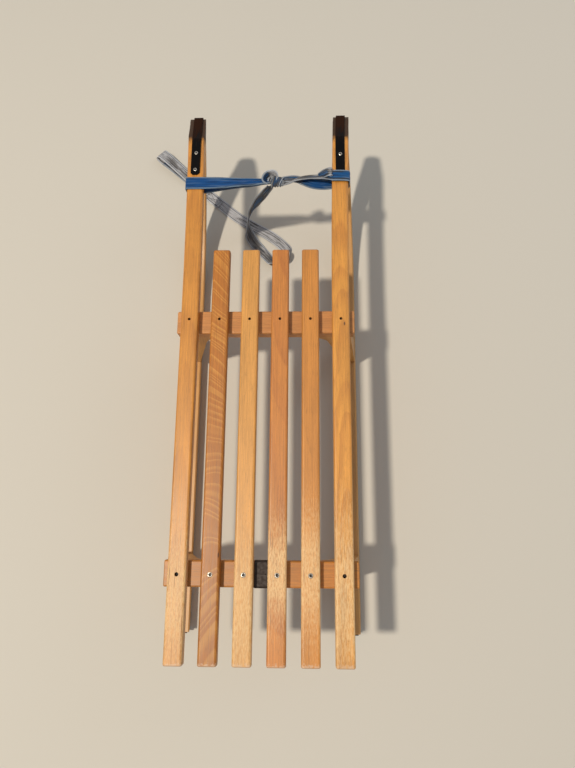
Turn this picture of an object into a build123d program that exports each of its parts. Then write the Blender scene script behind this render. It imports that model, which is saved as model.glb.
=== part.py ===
"""A wooden slat sled on two bent runners, with a knotted webbing pull strap.

The sled stands on its runners with +Z up. Its front, where the runners curve up, points to -Y, and its
left, as a rider sees it, is +X. All sizes are in millimetres.
"""

import math
import os

from build123d import *

os.makedirs("parts", exist_ok=True)

# Overall sizes
LENGTH = 1000
SEAT_HEIGHT = 238
GAUGE = 332
RUNNER_LEAN = 7

# Seat slats
SLAT_PITCH = 53.6
SLAT_WIDTH = 30.5
SLAT_THICKNESS = 18
SLAT_EDGE_RADIUS = 4
END_CHAMFER = 1.5
INNER_SLAT_LENGTH = 699
OUTER_SLAT_FLARE = 6

# Pockets over the slats' screws: radius and depth
FRONT_POCKET = (2.6, 6)
REAR_POCKET = (4.2, 2)
OUTER_REAR_POCKET = (3.3, 6)

# Crossbars, which carry the slats
REAR_OVERHANG = 135.7
BAR_SPACING = 430.6
BAR_LENGTH = 318
BAR_WIDTH = 42
BAR_THICKNESS = 26
BAR_EDGE_RADIUS = 3
LEG_HOUSING_DEPTH = 4

# Legs, splayed and arched under the crossbars
LEG_TOP_WIDTH = 47
LEG_ARCH_RADIUS = 35
LEG_TIP_LENGTH = 3
LEG_FOOT_SHOULDER = 1

# Bent wooden runners
RUNNER_WIDTH = 25
RUNNER_THICKNESS = 28
RUNNER_REAR_INSET = 13.5
RUNNER_BEND_RADIUS = 337
RUNNER_RAMP_ANGLE = 56
RUNNER_HEEL_RADIUS = 20
RUNNER_EDGE_CHAMFER = 2
RUNNER_HEAD_DROP = 45

# Nose, where a runner meets its outer slat
NOSE_RADIUS = 18
NOSE_BEVEL_LENGTH = 71
NOSE_BEVEL_ANGLE = 18.5

# Steel shoes, one flat bar along each runner and over its nose
SHOE_THICKNESS = 3
SHOE_WIDTH = 17
SHOE_TOP_LENGTH = 76
SHOE_HEEL_GAP = 7
SHOE_END_CHAMFER = 4

# Webbing strap
STRAP_WIDTH = 25
STRAP_THICKNESS = 2
STRAP_CLEARANCE = 0.3
SLING_LEFT_BACK = 165
SLING_RIGHT_BACK = 154
KNOT_X = -14
KNOT_LENGTH = 32
KNOT_DEPTH = 38
KNOT_HEIGHT = 20
HAND_LOOP_LENGTH = 196
HAND_LOOP_HEIGHT = 16
SEWN_LENGTH = 42

# Places worked out from the sizes above
FRONT_Y = -LENGTH / 2
REAR_Y = LENGTH / 2
SLAT_BOTTOM = SEAT_HEIGHT - SLAT_THICKNESS
BAR_BOTTOM = SLAT_BOTTOM - BAR_THICKNESS
RUNNER_TOP = SHOE_THICKNESS + RUNNER_THICKNESS
REAR_BAR_Y = REAR_Y - REAR_OVERHANG
FRONT_BAR_Y = REAR_BAR_Y - BAR_SPACING
LEAN = math.radians(RUNNER_LEAN)
RAMP = math.radians(RUNNER_RAMP_ANGLE)
BEVEL = math.radians(NOSE_BEVEL_ANGLE)
OUTER_SLAT_X = 2.5 * SLAT_PITCH
KNOT_Z = (SLAT_BOTTOM + SEAT_HEIGHT) / 2
SLING_LEFT_Y = FRONT_Y + SLING_LEFT_BACK
SLING_RIGHT_Y = FRONT_Y + SLING_RIGHT_BACK
SIDES = {"left": 1, "right": -1}
BARS = {"front": FRONT_BAR_Y, "rear": REAR_BAR_Y}


def runner_x(z):
    """Distance of a runner's middle from the sled's middle at height z."""
    return GAUGE / 2 - z * math.tan(LEAN)


def side_plane(side):
    """Upright plane of one runner, leaning in at the top. Its x runs forward and its y runs up the lean."""
    up = Vector(-side * math.sin(LEAN), 0, math.cos(LEAN))
    forward = Vector(0, -1, 0)
    return Plane(origin=(side * GAUGE / 2, 0, 0), x_dir=forward, z_dir=forward.cross(up))


def up(z):
    """Height z, measured up the lean of a runner's plane."""
    return z / math.cos(LEAN)


def shoe_seat(inset=0):
    """Corners of the line where wood meets shoe, from the heel to the strip's end, as (forward, up)."""
    low = SHOE_THICKNESS + inset
    nose_centre = -FRONT_Y - SHOE_THICKNESS - NOSE_RADIUS
    bevel_start = -FRONT_Y - NOSE_BEVEL_LENGTH
    rise = (NOSE_RADIUS + (nose_centre - bevel_start) * math.sin(BEVEL)) / math.cos(BEVEL)
    nose_height = SEAT_HEIGHT - rise
    half_turn = (math.pi - RAMP - BEVEL) / 2
    reach = NOSE_RADIUS / math.cos(half_turn)
    bisector = RAMP - math.pi / 2 + half_turn
    nose = (nose_centre + reach * math.cos(bisector), nose_height + reach * math.sin(bisector))
    knee_x = nose[0] - (nose[1] - SHOE_THICKNESS) / math.tan(RAMP)
    knee = (knee_x - inset * math.tan(RAMP / 2), low)
    heel = (RUNNER_REAR_INSET - REAR_Y, low)
    return heel, knee, nose, (bevel_start, SEAT_HEIGHT)


HEEL, KNEE, NOSE, BEVEL_START = shoe_seat()
INNER_KNEE = shoe_seat(RUNNER_THICKNESS)[1]
STRIP_END = (BEVEL_START[0] - SHOE_TOP_LENGTH, SEAT_HEIGHT)
SHOE_RADII = [RUNNER_HEEL_RADIUS, RUNNER_BEND_RADIUS, NOSE_RADIUS]


def lifted(points):
    return [(x, up(z)) for x, z in points]


def under_shoe(side):
    """Everything behind and above the shoe's line: what the runner and the outer slat are cut from."""
    rear = REAR_Y + 50
    top = SEAT_HEIGHT + 50
    with BuildSketch(side_plane(side)) as region:
        with BuildLine():
            wood = FilletPolyline(*lifted([(HEEL[0], RUNNER_TOP), HEEL, KNEE, NOSE, BEVEL_START]), radius=SHOE_RADII)
            Polyline(wood @ 1, *lifted([(BEVEL_START[0], top), (-rear, top), (-rear, RUNNER_TOP)]), wood @ 0)
        make_face()
    return region.sketch


# Seat slats

def drill_pockets(x, rear_pocket):
    """Drill the slat being built over the two screws that hold it to the front and rear crossbars."""
    for bar_y, (radius, depth) in [(FRONT_BAR_Y, FRONT_POCKET), (REAR_BAR_Y, rear_pocket)]:
        with Locations((x, bar_y, SEAT_HEIGHT)):
            Cylinder(radius, 2 * depth, mode=Mode.SUBTRACT)


for index in range(4):
    slat_x = (1.5 - index) * SLAT_PITCH
    with BuildPart() as slat:
        with Locations((slat_x, REAR_Y - INNER_SLAT_LENGTH / 2, SLAT_BOTTOM)):
            Box(SLAT_WIDTH, INNER_SLAT_LENGTH, SLAT_THICKNESS, align=(Align.CENTER, Align.CENTER, Align.MIN))
        fillet(slat.edges().filter_by(Axis.Y), SLAT_EDGE_RADIUS)
        chamfer(slat.faces().filter_by(Axis.Y).edges(), END_CHAMFER)
        drill_pockets(slat_x, REAR_POCKET)
    slat.part.label = f"slat_{index + 2}"
    export_step(slat.part, f"parts/slat_{index + 2}.step")

for name, side in SIDES.items():
    slat_x = side * OUTER_SLAT_X
    nose_x = slat_x + side * OUTER_SLAT_FLARE
    with BuildPart() as slat:
        with BuildSketch(Plane.XY.offset(SLAT_BOTTOM)):
            with BuildLine():
                inner = Line((slat_x - SLAT_WIDTH / 2, REAR_Y), (slat_x - SLAT_WIDTH / 2, FRONT_BAR_Y))
                inner_bow = TangentArc(inner @ 1, (nose_x - SLAT_WIDTH / 2, FRONT_Y), tangent=inner % 1)
                outer = Line((slat_x + SLAT_WIDTH / 2, REAR_Y), (slat_x + SLAT_WIDTH / 2, FRONT_BAR_Y))
                outer_bow = TangentArc(outer @ 1, (nose_x + SLAT_WIDTH / 2, FRONT_Y), tangent=outer % 1)
                Line(inner @ 0, outer @ 0)
                Line(inner_bow @ 1, outer_bow @ 1)
            make_face()
        extrude(amount=SLAT_THICKNESS)
        long_edges = slat.edges().filter_by(lambda e: e.length > LENGTH / 4).group_by(Axis.Z)
        chamfer(long_edges[0], SLAT_EDGE_RADIUS / 2)
        fillet(long_edges[-1], SLAT_EDGE_RADIUS)
        chamfer(slat.faces().sort_by(Axis.Y)[-1].edges(), END_CHAMFER)
        extrude(under_shoe(side), amount=LENGTH, dir=(1, 0, 0), both=True, mode=Mode.INTERSECT)
        drill_pockets(slat_x, OUTER_REAR_POCKET)
    slat.part.label = f"outer_slat_{name}"
    export_step(slat.part, f"parts/outer_slat_{name}.step")


# Crossbars and legs

def leg_corners():
    """Corners of a leg seen from the front, from its foot's inner corner round to the arch's tip."""
    foot_half = RUNNER_WIDTH / 2 - LEG_FOOT_SHOULDER
    foot_x = runner_x(RUNNER_TOP)
    outer_top = foot_x + foot_half - (BAR_BOTTOM - RUNNER_TOP) * math.tan(LEAN)
    inner_top = outer_top - LEG_TOP_WIDTH
    inner_foot = foot_x - foot_half
    lean = math.atan2(inner_foot - inner_top, BAR_BOTTOM - RUNNER_TOP)
    arch_reach = LEG_ARCH_RADIUS * math.tan((math.pi / 2 - lean) / 2) + LEG_TIP_LENGTH
    seat_top = BAR_BOTTOM + LEG_HOUSING_DEPTH
    outer_seat = outer_top - LEG_HOUSING_DEPTH * math.tan(LEAN)
    return {
        "inner_foot": (inner_foot, RUNNER_TOP),
        "outer_foot": (foot_x + foot_half, RUNNER_TOP),
        "outer_seat": (outer_seat, seat_top),
        "tip_top": (inner_top - arch_reach, seat_top),
        "tip": (inner_top - arch_reach, BAR_BOTTOM),
        "arch": (inner_top, BAR_BOTTOM),
    }


LEG = leg_corners()


def leg_outline(side, bar_y):
    """Front view of one leg, with its arched inner corner."""
    with BuildSketch(Plane.XZ.offset(-bar_y)) as outline:
        with BuildLine():
            Polyline(*[(side * x, z) for x, z in LEG.values()], close=True)
        make_face()
        arch_x, arch_z = LEG["arch"]
        corner = outline.vertices().sort_by_distance((side * arch_x, arch_z, 0))[0]
        fillet(corner, LEG_ARCH_RADIUS)
    return outline.sketch


for bar_name, bar_y in BARS.items():
    with BuildPart() as bar:
        with Locations((0, bar_y, BAR_BOTTOM)):
            Box(BAR_LENGTH, BAR_WIDTH, BAR_THICKNESS, align=(Align.CENTER, Align.CENTER, Align.MIN))
        fillet(bar.edges().filter_by(Axis.X), BAR_EDGE_RADIUS)
        chamfer(bar.faces().filter_by(Axis.X).edges(), END_CHAMFER)
        for side in SIDES.values():
            extrude(leg_outline(side, bar_y), amount=BAR_WIDTH / 2, both=True, mode=Mode.SUBTRACT)
    bar.part.label = f"crossbar_{bar_name}"
    export_step(bar.part, f"parts/crossbar_{bar_name}.step")

    for name, side in SIDES.items():
        with BuildPart() as leg:
            extrude(leg_outline(side, bar_y), amount=BAR_WIDTH / 2, both=True)
        leg.part.label = f"leg_{bar_name}_{name}"
        export_step(leg.part, f"parts/leg_{bar_name}_{name}.step")


# Runners and their shoes

def above_runner(side):
    """Everything above a runner's top face, which runs parallel to its shoe."""
    rear = -REAR_Y - 50
    climb = SEAT_HEIGHT
    ramp_end = (INNER_KNEE[0] + climb / math.tan(RAMP), INNER_KNEE[1] + climb)
    with BuildSketch(side_plane(side)) as region:
        with BuildLine():
            wood = FilletPolyline(
                *lifted([(rear, RUNNER_TOP), INNER_KNEE, ramp_end]),
                radius=RUNNER_BEND_RADIUS - RUNNER_THICKNESS,
            )
            Polyline(wood @ 1, (rear, (wood @ 1).Y), wood @ 0)
        make_face()
    return region.sketch


def head_corners(side):
    """Corners of a runner's head seen from the front, which widens upwards to the outer slat's width."""
    top_x = OUTER_SLAT_X + OUTER_SLAT_FLARE
    low_z = SLAT_BOTTOM - RUNNER_HEAD_DROP
    low_x = runner_x(low_z)
    return [
        (side * (top_x - SLAT_WIDTH / 2), SLAT_BOTTOM),
        (side * (top_x + SLAT_WIDTH / 2), SLAT_BOTTOM),
        (side * (low_x + RUNNER_WIDTH / 2), low_z),
        (side * (low_x - RUNNER_WIDTH / 2), low_z),
    ]


for name, side in SIDES.items():
    with BuildPart() as head:
        with BuildSketch(Plane.XZ):
            with BuildLine():
                Polyline(*head_corners(side), close=True)
            make_face()
        extrude(amount=LENGTH, both=True)
        extrude(under_shoe(side), amount=LENGTH, dir=(1, 0, 0), both=True, mode=Mode.INTERSECT)
        extrude(above_runner(side), amount=LENGTH, dir=(1, 0, 0), both=True, mode=Mode.SUBTRACT)

    with BuildPart() as runner:
        extrude(under_shoe(side), amount=RUNNER_WIDTH / 2, dir=(1, 0, 0), both=True)
        extrude(above_runner(side), amount=RUNNER_WIDTH, dir=(1, 0, 0), both=True, mode=Mode.SUBTRACT)
        upper_edges = runner.edges(Select.LAST).filter_by(lambda e: e.length > 2 * RUNNER_WIDTH)
        chamfer(upper_edges, RUNNER_EDGE_CHAMFER)
        with Locations((0, 0, SLAT_BOTTOM)):
            Box(2 * GAUGE, 2 * LENGTH, SEAT_HEIGHT, align=(Align.CENTER, Align.CENTER, Align.MIN), mode=Mode.SUBTRACT)
        add(head.part)
    runner.part.label = f"runner_{name}"
    export_step(runner.part, f"parts/runner_{name}.step")

    with BuildPart() as shoe:
        with BuildSketch(side_plane(side)):
            with BuildLine():
                shoe_start = (HEEL[0], RUNNER_TOP - SHOE_HEEL_GAP)
                FilletPolyline(*lifted([shoe_start, HEEL, KNEE, NOSE, BEVEL_START]), radius=SHOE_RADII)
                Line(*lifted([BEVEL_START, STRIP_END]))
                offset(amount=up(SHOE_THICKNESS), side=Side.RIGHT)
            make_face()
        extrude(amount=SHOE_WIDTH / 2, dir=(1, 0, 0), both=True)
        strip_end = shoe.faces().filter_by(Axis.Y).sort_by(Axis.Z)[-1].edges().sort_by(Axis.X)
        chamfer([strip_end[0], strip_end[-1]], SHOE_END_CHAMFER)
    shoe.part.label = f"shoe_{name}"
    export_step(shoe.part, f"parts/shoe_{name}.step")


# Webbing strap

def sling(side, sling_y, seat_z, name):
    """A band round one outer slat, lying on a seat at height seat_z, whose two ends run to the knot."""
    half = SLAT_WIDTH / 2 + STRAP_CLEARANCE
    bow = ((FRONT_BAR_Y - sling_y) / (FRONT_BAR_Y - FRONT_Y)) ** 2
    slat_x = side * (OUTER_SLAT_X + OUTER_SLAT_FLARE * bow)
    knot_x = KNOT_X + side * KNOT_LENGTH / 2
    top = seat_z + STRAP_CLEARANCE
    bottom = SLAT_BOTTOM - STRAP_CLEARANCE
    spread = STRAP_THICKNESS / 2 + STRAP_CLEARANCE
    inner_corners = [
        (knot_x, KNOT_Z + spread),
        (slat_x - side * half, top),
        (slat_x + side * half, top),
        (slat_x + side * half, bottom),
        (slat_x - side * half, bottom),
        (knot_x, KNOT_Z - spread),
    ]
    with BuildPart() as band:
        with BuildSketch(Plane.XZ.offset(-sling_y)):
            with BuildLine():
                inside = FilletPolyline(*inner_corners, radius=[SLAT_EDGE_RADIUS] * 2 + [SLAT_EDGE_RADIUS / 2] * 2)
                Line(inside @ 1, inside @ 0)
            hollow = make_face()
            offset(hollow, amount=STRAP_THICKNESS, mode=Mode.REPLACE)
            add(hollow, mode=Mode.SUBTRACT)
            with Locations((knot_x - side * STRAP_THICKNESS, KNOT_Z)):
                Rectangle(2 * STRAP_THICKNESS, KNOT_HEIGHT, mode=Mode.SUBTRACT)
        extrude(amount=STRAP_WIDTH / 2, both=True)
    band.part.label = name
    export_step(band.part, f"parts/{name}.step")


sling(1, SLING_LEFT_Y, SEAT_HEIGHT, "strap_sling_left")
sling(-1, SLING_RIGHT_Y, SEAT_HEIGHT + SHOE_THICKNESS, "strap_sling_right")

# Route of the strap's free tail, from inside the knot down to the floor, round a turn and back to the hand loop.
# Each corner is (x, distance behind the front end, height).
FLOOR_Z = STRAP_THICKNESS / 2
TAIL_CORNERS = [
    (-10, 162, KNOT_Z - KNOT_HEIGHT / 2 + 3),
    (22, 150, 160),
    (43, 140, 98),
    (62, 138, 28),
    (52, 159, FLOOR_Z),
    (25, 191, FLOOR_Z),
    (-1, 223, FLOOR_Z),
    (-25, 223, FLOOR_Z),
    (-41, 205, FLOOR_Z),
    (-39, 181, FLOOR_Z),
    (2, 153, FLOOR_Z),
    (48, 127, FLOOR_Z),
    (88, 101, FLOOR_Z),
    (123, 70, FLOOR_Z),
]


def corner_radii(points):
    """For each corner, the radius of an arc that uses 0.45 of the shorter run beside it."""
    radii = []
    for before, corner, after in zip(points, points[1:], points[2:]):
        a, b, c = Vector(*before), Vector(*corner), Vector(*after)
        run = min((b - a).length, (c - b).length)
        half_turn = math.radians((b - a).get_angle(c - b)) / 2
        radii.append(0.45 * run / math.tan(half_turn))
    return radii


route_points = [(x, FRONT_Y + back, z) for x, back, z in reversed(TAIL_CORNERS)]
route_radii = corner_radii(route_points)
with BuildPart() as tail:
    with BuildLine():
        route = FilletPolyline(*route_points, radius=route_radii)
    with BuildSketch(Plane(origin=route @ 0, x_dir=(route % 0).cross(Vector(0, 0, 1)), z_dir=route % 0)):
        Rectangle(STRAP_WIDTH, STRAP_THICKNESS)
    sweep(path=route)
swept_share = tail.part.volume / (route.length * STRAP_WIDTH * STRAP_THICKNESS)
print("tail radii", [round(radius) for radius in route_radii])
print("tail length", round(route.length), "volume over section times length", round(swept_share, 3))
tail.part.label = "strap_tail"
export_step(tail.part, "parts/strap_tail.step")

# Knot between the slings, with the tail's end held in it
with BuildPart() as knot:
    with Locations((KNOT_X, (SLING_LEFT_Y + SLING_RIGHT_Y) / 2, KNOT_Z)):
        Box(KNOT_LENGTH, KNOT_DEPTH, KNOT_HEIGHT)
    fillet(knot.edges().filter_by(Axis.X), KNOT_HEIGHT / 2 - 1)
    add(tail.part, mode=Mode.SUBTRACT)
knot.part.label = "strap_knot"
export_step(knot.part, "parts/strap_knot.step")

# Hand loop, the strap's end turned back and sewn to itself, lying on the floor
loop_heading = (route % 0) * -1
loop_plane = Plane(
    origin=(route @ 0) - Vector(0, 0, FLOOR_Z), x_dir=loop_heading, z_dir=loop_heading.cross(Vector(0, 0, 1))
)
bend_start = HAND_LOOP_LENGTH - HAND_LOOP_HEIGHT / 2
with BuildPart() as loop:
    with BuildSketch(loop_plane):
        with BuildLine():
            low = Line((0, 0), (bend_start, 0))
            bend = TangentArc(low @ 1, (bend_start, HAND_LOOP_HEIGHT), tangent=low % 1)
            Polyline(bend @ 1, (SEWN_LENGTH + HAND_LOOP_HEIGHT, 2 * STRAP_THICKNESS), (0, 2 * STRAP_THICKNESS), low @ 0)
        make_face()
        with BuildLine():
            low = Line((SEWN_LENGTH, STRAP_THICKNESS), (bend_start, STRAP_THICKNESS))
            bend = TangentArc(low @ 1, (bend_start, HAND_LOOP_HEIGHT - STRAP_THICKNESS), tangent=low % 1)
            Line(bend @ 1, low @ 0)
        make_face(mode=Mode.SUBTRACT)
    extrude(amount=STRAP_WIDTH / 2, both=True)
loop.part.label = "strap_hand_loop"
export_step(loop.part, "parts/strap_hand_loop.step")
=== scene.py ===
# %% [markdown]
# # A wooden slat sled with a knotted pull strap
#
# This lesson dresses a sled that was already modelled as exact solids. The solids come in as a
# fixed frame: +Z is up, the curved front points to -Y, and everything is in metres. We give the
# wood, steel and webbing their finish, and model what the solids leave out: the screws, the
# plate, and the strap with its twist, knot, stitching and hand loop.

# %% Load the frame
import math

import bmesh
import bpy
from mathutils import Matrix, Vector


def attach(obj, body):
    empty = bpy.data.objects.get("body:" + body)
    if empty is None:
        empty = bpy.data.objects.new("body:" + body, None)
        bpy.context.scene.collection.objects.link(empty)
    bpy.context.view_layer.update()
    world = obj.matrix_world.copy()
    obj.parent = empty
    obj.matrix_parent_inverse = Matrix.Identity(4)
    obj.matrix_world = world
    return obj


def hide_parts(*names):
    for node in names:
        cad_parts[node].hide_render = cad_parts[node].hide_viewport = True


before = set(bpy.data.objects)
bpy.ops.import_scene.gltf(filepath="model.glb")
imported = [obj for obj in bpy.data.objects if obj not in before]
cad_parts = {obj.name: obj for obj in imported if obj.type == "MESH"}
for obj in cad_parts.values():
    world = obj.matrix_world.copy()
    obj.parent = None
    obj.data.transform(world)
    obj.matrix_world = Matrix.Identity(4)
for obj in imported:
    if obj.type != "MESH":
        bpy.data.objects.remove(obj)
scene = bpy.context.scene
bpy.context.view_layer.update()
MM = 0.001
print("nodes", sorted(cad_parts))

# %% [markdown]
# ## The camera
#
# The photograph looks almost straight down from 1.2 m above the floor, a little behind the middle
# of the seat. A camera is easiest to aim with two directions, the one it looks along and the one
# that is up in the picture, so we build its rotation from those instead of from angles. A camera
# is an object that shows some data, as a lamp or a mesh is, so one helper links them all.

# %% Camera
def in_scene(name, data):
    """A new object that shows the data, linked into the scene."""
    holder = bpy.data.objects.new(name, data)
    scene.collection.objects.link(holder)
    return holder


LENS_MM = 26.985
EYE = Vector((-0.0756, 0.2806, 1.1956))
LOOK = Vector((0.03507, -0.23203, -0.97208))
PICTURE_UP = Vector((-0.0001, -0.97268, 0.23217))

camera_data = bpy.data.cameras.new("camera")
camera_data.lens = LENS_MM
camera_data.sensor_width = 36
camera_data.clip_start = 0.05
camera = in_scene("camera", camera_data)
picture_right = LOOK.cross(PICTURE_UP).normalized()
picture_up = picture_right.cross(LOOK).normalized()
camera.matrix_world = Matrix.Translation(EYE) @ Matrix(
    (picture_right, picture_up, -LOOK.normalized())
).transposed().to_4x4()
scene.camera = camera
print("camera at", [round(v, 3) for v in EYE])

# %% [markdown]
# ## Small helpers
#
# Every material needs colours, and designers write those as sRGB hex values, while a shader
# works in linear light. One function converts them. A second small function adds a shader node,
# sets its values and makes its links, so that each material below reads as a short recipe. Two
# groups of settings come back often: a mix of two colours, and a range with eased ends.

# %% Colour and node helpers
MATH, VECTOR_MATH, NOISE = "ShaderNodeMath", "ShaderNodeVectorMath", "ShaderNodeTexNoise"
MIX, RANGE, OBJECT = "ShaderNodeMix", "ShaderNodeMapRange", "ShaderNodeTexCoord"
SPLIT, JOIN = "ShaderNodeSeparateXYZ", "ShaderNodeCombineXYZ"
COLOURS = {"out": 2, "data_type": "RGBA"}
EASED = {"interpolation_type": "SMOOTHSTEP"}


def colour(hex_value):
    """A linear RGBA colour from an sRGB hex value such as 'd19a5b'."""
    channels = [int(hex_value[i:i + 2], 16) / 255 for i in (0, 2, 4)]
    linear = [c / 12.92 if c <= 0.04045 else ((c + 0.055) / 1.055) ** 2.4 for c in channels]
    return (*linear, 1.0)


def add(tree, kind, inputs=(), out=0, **settings):
    """Adds a node with its settings, feeds its inputs and returns its output out.

    The inputs are a list in socket order or a dictionary by name or number. Each is a value or
    the output of another node."""
    node = tree.nodes.new(kind)
    for key, value in settings.items():
        setattr(node, key, value)
    for key, value in dict(inputs if isinstance(inputs, dict) else enumerate(inputs)).items():
        if isinstance(value, bpy.types.NodeSocket):
            tree.links.new(value, node.inputs[key])
        elif value is not None:
            node.inputs[key].default_value = value
    return node.outputs[out] if len(node.outputs) else node


def new_material(name):
    """A material with an empty node tree, and the tree."""
    material = bpy.data.materials.new(name)
    material.use_nodes = True
    material.node_tree.nodes.clear()
    return material, material.node_tree


def show(tree, shader):
    """Makes a shader the surface of its material."""
    add(tree, "ShaderNodeOutputMaterial", {"Surface": shader})


def seen_rays(tree):
    """1 for what the camera sees, straight, by reflection or through glass, and 0 for other light."""
    rays = add(tree, "ShaderNodeLightPath", out="Is Camera Ray").node.outputs
    seen = add(tree, MATH, [rays["Is Camera Ray"], rays["Is Glossy Ray"]], operation="MAXIMUM")
    return add(tree, MATH, [seen, rays["Is Transmission Ray"]], operation="MAXIMUM")


def dress(names, material):
    """Gives CAD nodes a material."""
    for name in names:
        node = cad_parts[name]
        node.data.materials.clear()
        node.data.materials.append(material)


print("beech in linear light", [round(channel, 3) for channel in colour("d19a5b")])

# %% [markdown]
# ## The floor
#
# The sled stands on a plain pale floor, which is one large matt square. It lies 0.4 mm under the
# shoes, so that the two never flicker through each other. A lamp lights a wide floor unevenly,
# so the part of it that is far from the sled shows its own plain colour to the camera and in
# reflections instead.

# %% Floor
FLOOR_SIZE = 14.0
FLOOR_DROP = 0.4 * MM
FLOOR_LIT, FLOOR_PLAIN = 1.0, 3.2
floor_mesh = bpy.data.meshes.new("floor")
half_floor = FLOOR_SIZE / 2
corners = [(x * half_floor, y * half_floor, -FLOOR_DROP) for x, y in [(-1, -1), (1, -1), (1, 1), (-1, 1)]]
floor_mesh.from_pydata(corners, [], [(0, 1, 2, 3)])
floor = in_scene("floor", floor_mesh)
floor_material, tree = new_material("pale_matt_floor")
matt = add(tree, "ShaderNodeBsdfPrincipled", {"Base Color": colour("cdc8be"), "Roughness": 0.9})
plain = add(tree, "ShaderNodeEmission", {"Color": colour("cfc7b9"), "Strength": 1.0})
distance = add(tree, VECTOR_MATH, [add(tree, OBJECT, out="Object")], out="Value", operation="LENGTH")
far = add(tree, RANGE, [distance, FLOOR_LIT, FLOOR_PLAIN], **EASED)
seen_far = add(tree, MATH, [seen_rays(tree), far], operation="MULTIPLY")
show(tree, add(tree, "ShaderNodeMixShader", [seen_far, matt, plain]))
floor_mesh.materials.append(floor_material)
print("floor", FLOOR_SIZE, "m wide, plain from", FLOOR_PLAIN, "m")

# %% [markdown]
# ## The light
#
# One soft lamp, high on the sled's left, gives the slats a bright and a dark edge and the sled its
# shadow, as in the photograph. A weak, bluish one fills from the other side, and an even pale world
# fills the rest. The world looks paler to the camera and in reflections than its light on the wood
# is, so that the room behind the sled is pale too.

# %% World
world = bpy.data.worlds.new("pale room")
scene.world = world
world.use_nodes = True
tree = world.node_tree
backdrop = tree.nodes["Background"]
backdrop.inputs["Color"].default_value = colour("eef1f4")
WORLD_LIGHT, WORLD_SEEN = 0.38, 0.8
strength = add(tree, RANGE, [seen_rays(tree), 0.0, 1.0, WORLD_LIGHT, WORLD_SEEN])
tree.links.new(strength, backdrop.inputs["Strength"])
print("the world lights with", WORLD_LIGHT, "and shows as", WORLD_SEEN)


# %% Lamps
def soft_lamp(name, place, target, size, power, tint):
    """A round area lamp at place, in metres, that points at target."""
    lamp_data = bpy.data.lights.new(name, "AREA")
    lamp_data.shape = "DISK"
    lamp_data.size = size
    lamp_data.energy = power
    lamp_data.color = colour(tint)[:3]
    lamp = in_scene(name, lamp_data)
    lamp.location = place
    lamp.rotation_euler = (Vector(target) - Vector(place)).to_track_quat("-Z", "Y").to_euler()
    print(name, power, "W")


soft_lamp("key lamp", (1.9, 0.8, 5.2), (0, 0, 0.1), 0.32, 232, "fff4e2")
soft_lamp("fill lamp", (-1.8, -1.2, 1.6), (0, 0, 0.1), 1.6, 6, "eaf2ff")
scene.view_settings.view_transform = "Standard"

# %% [markdown]
# ## The strap's free end
#
# The strap hangs from the knot, lands on the floor and turns back. Real webbing is limp, so its
# line is one smooth curve. We hand a NURBS spline the same corners that the solid's route has,
# and let Blender smooth them.

# %% Route of the tail
FRONT_Y = -0.5
TAIL_CORNERS = [
    (-5, 163, 223), (9, 161, 196), (28, 156, 150), (46, 146, 96), (61, 139, 28), (52, 159, 1), (25, 191, 1),
    (-1, 223, 1), (-21, 225, 1), (-36, 213, 1), (-35, 189, 1), (2, 153, 1), (48, 127, 1), (88, 101, 1),
    (123, 70, 1), (146, 51, 1), (170, 30, 1), (200, 3, 1), (233, -26, 1), (256, -45, 1), (268, -55, 1),
]


def behind_front(corners):
    """Points in metres from (x, distance behind the nose's tip, z) in millimetres."""
    return [Vector((x * MM, FRONT_Y + back * MM, z * MM)) for x, back, z in corners]


def smooth_line(name, corners, resolution=24):
    """Points along a NURBS spline of order 3 that runs through its first and last corner."""
    curve = bpy.data.curves.new(name, "CURVE")
    curve.dimensions = "3D"
    curve.resolution_u = resolution
    spline = curve.splines.new("NURBS")
    spline.points.add(len(corners) - 1)
    for point, corner in zip(spline.points, corners):
        point.co = (*corner, 1)
    spline.order_u = 3
    spline.use_endpoint_u = True
    holder = in_scene(name, curve)
    bpy.context.view_layer.update()
    line = bpy.data.meshes.new_from_object(holder)
    points = [v.co.copy() for v in line.vertices]
    bpy.data.objects.remove(holder)
    bpy.data.meshes.remove(line)
    return points


tail_line = smooth_line("tail line", behind_front(TAIL_CORNERS))
tail_length = sum((b - a).length for a, b in zip(tail_line, tail_line[1:]))
print("tail", len(tail_line), "points,", round(tail_length, 3), "m")

# %% [markdown]
# ## A ribbon of webbing
#
# A strap is a flat band that follows a line and may twist about it. We carry the direction of
# its width along the line, ease from one chosen direction to the next, and lay a flat section at
# every point. Where the strap is drawn into a knot it gathers: the section gets narrower and
# falls into pleats. The band keeps its cloth coordinates in a UV map, across and along in metres,
# and its back is moved 0.1 m aside there, so that a material can tell the two faces apart.

# %% Ease between marks
def ease_between(marks, share):
    """Eased value at share of a list of (share, value), where the values are numbers or vectors."""
    low = max((m for m in marks if m[0] <= share), key=lambda m: m[0], default=marks[0])
    high = min((m for m in marks if m[0] >= share), key=lambda m: m[0], default=marks[-1])
    if high[0] == low[0]:
        return low[1]
    mix = (share - low[0]) / (high[0] - low[0])
    mix = mix * mix * (3 - 2 * mix)
    return low[1] * (1 - mix) + high[1] * mix


print("a quarter of the way from 0 to 1 eases to", ease_between([(0, 0.0), (1, 1.0)], 0.25))

# %% [markdown]
# The ribbon is built ring by ring with bmesh, which gives us each vertex's place, its cloth
# coordinates and its two marks for fading, which in places also stands for painted shade, and
# gathering. Its long edges stay sharp, and the two ends are closed, as cut and melted webbing is.

# %% Ribbon helper
def from_bmesh(name, mesh):
    """A new object of a bmesh whose faces are turned outwards. The bmesh is used up."""
    bmesh.ops.recalc_face_normals(mesh, faces=mesh.faces)
    data = bpy.data.meshes.new(name)
    mesh.to_mesh(data)
    mesh.free()
    return in_scene(name, data)


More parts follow.
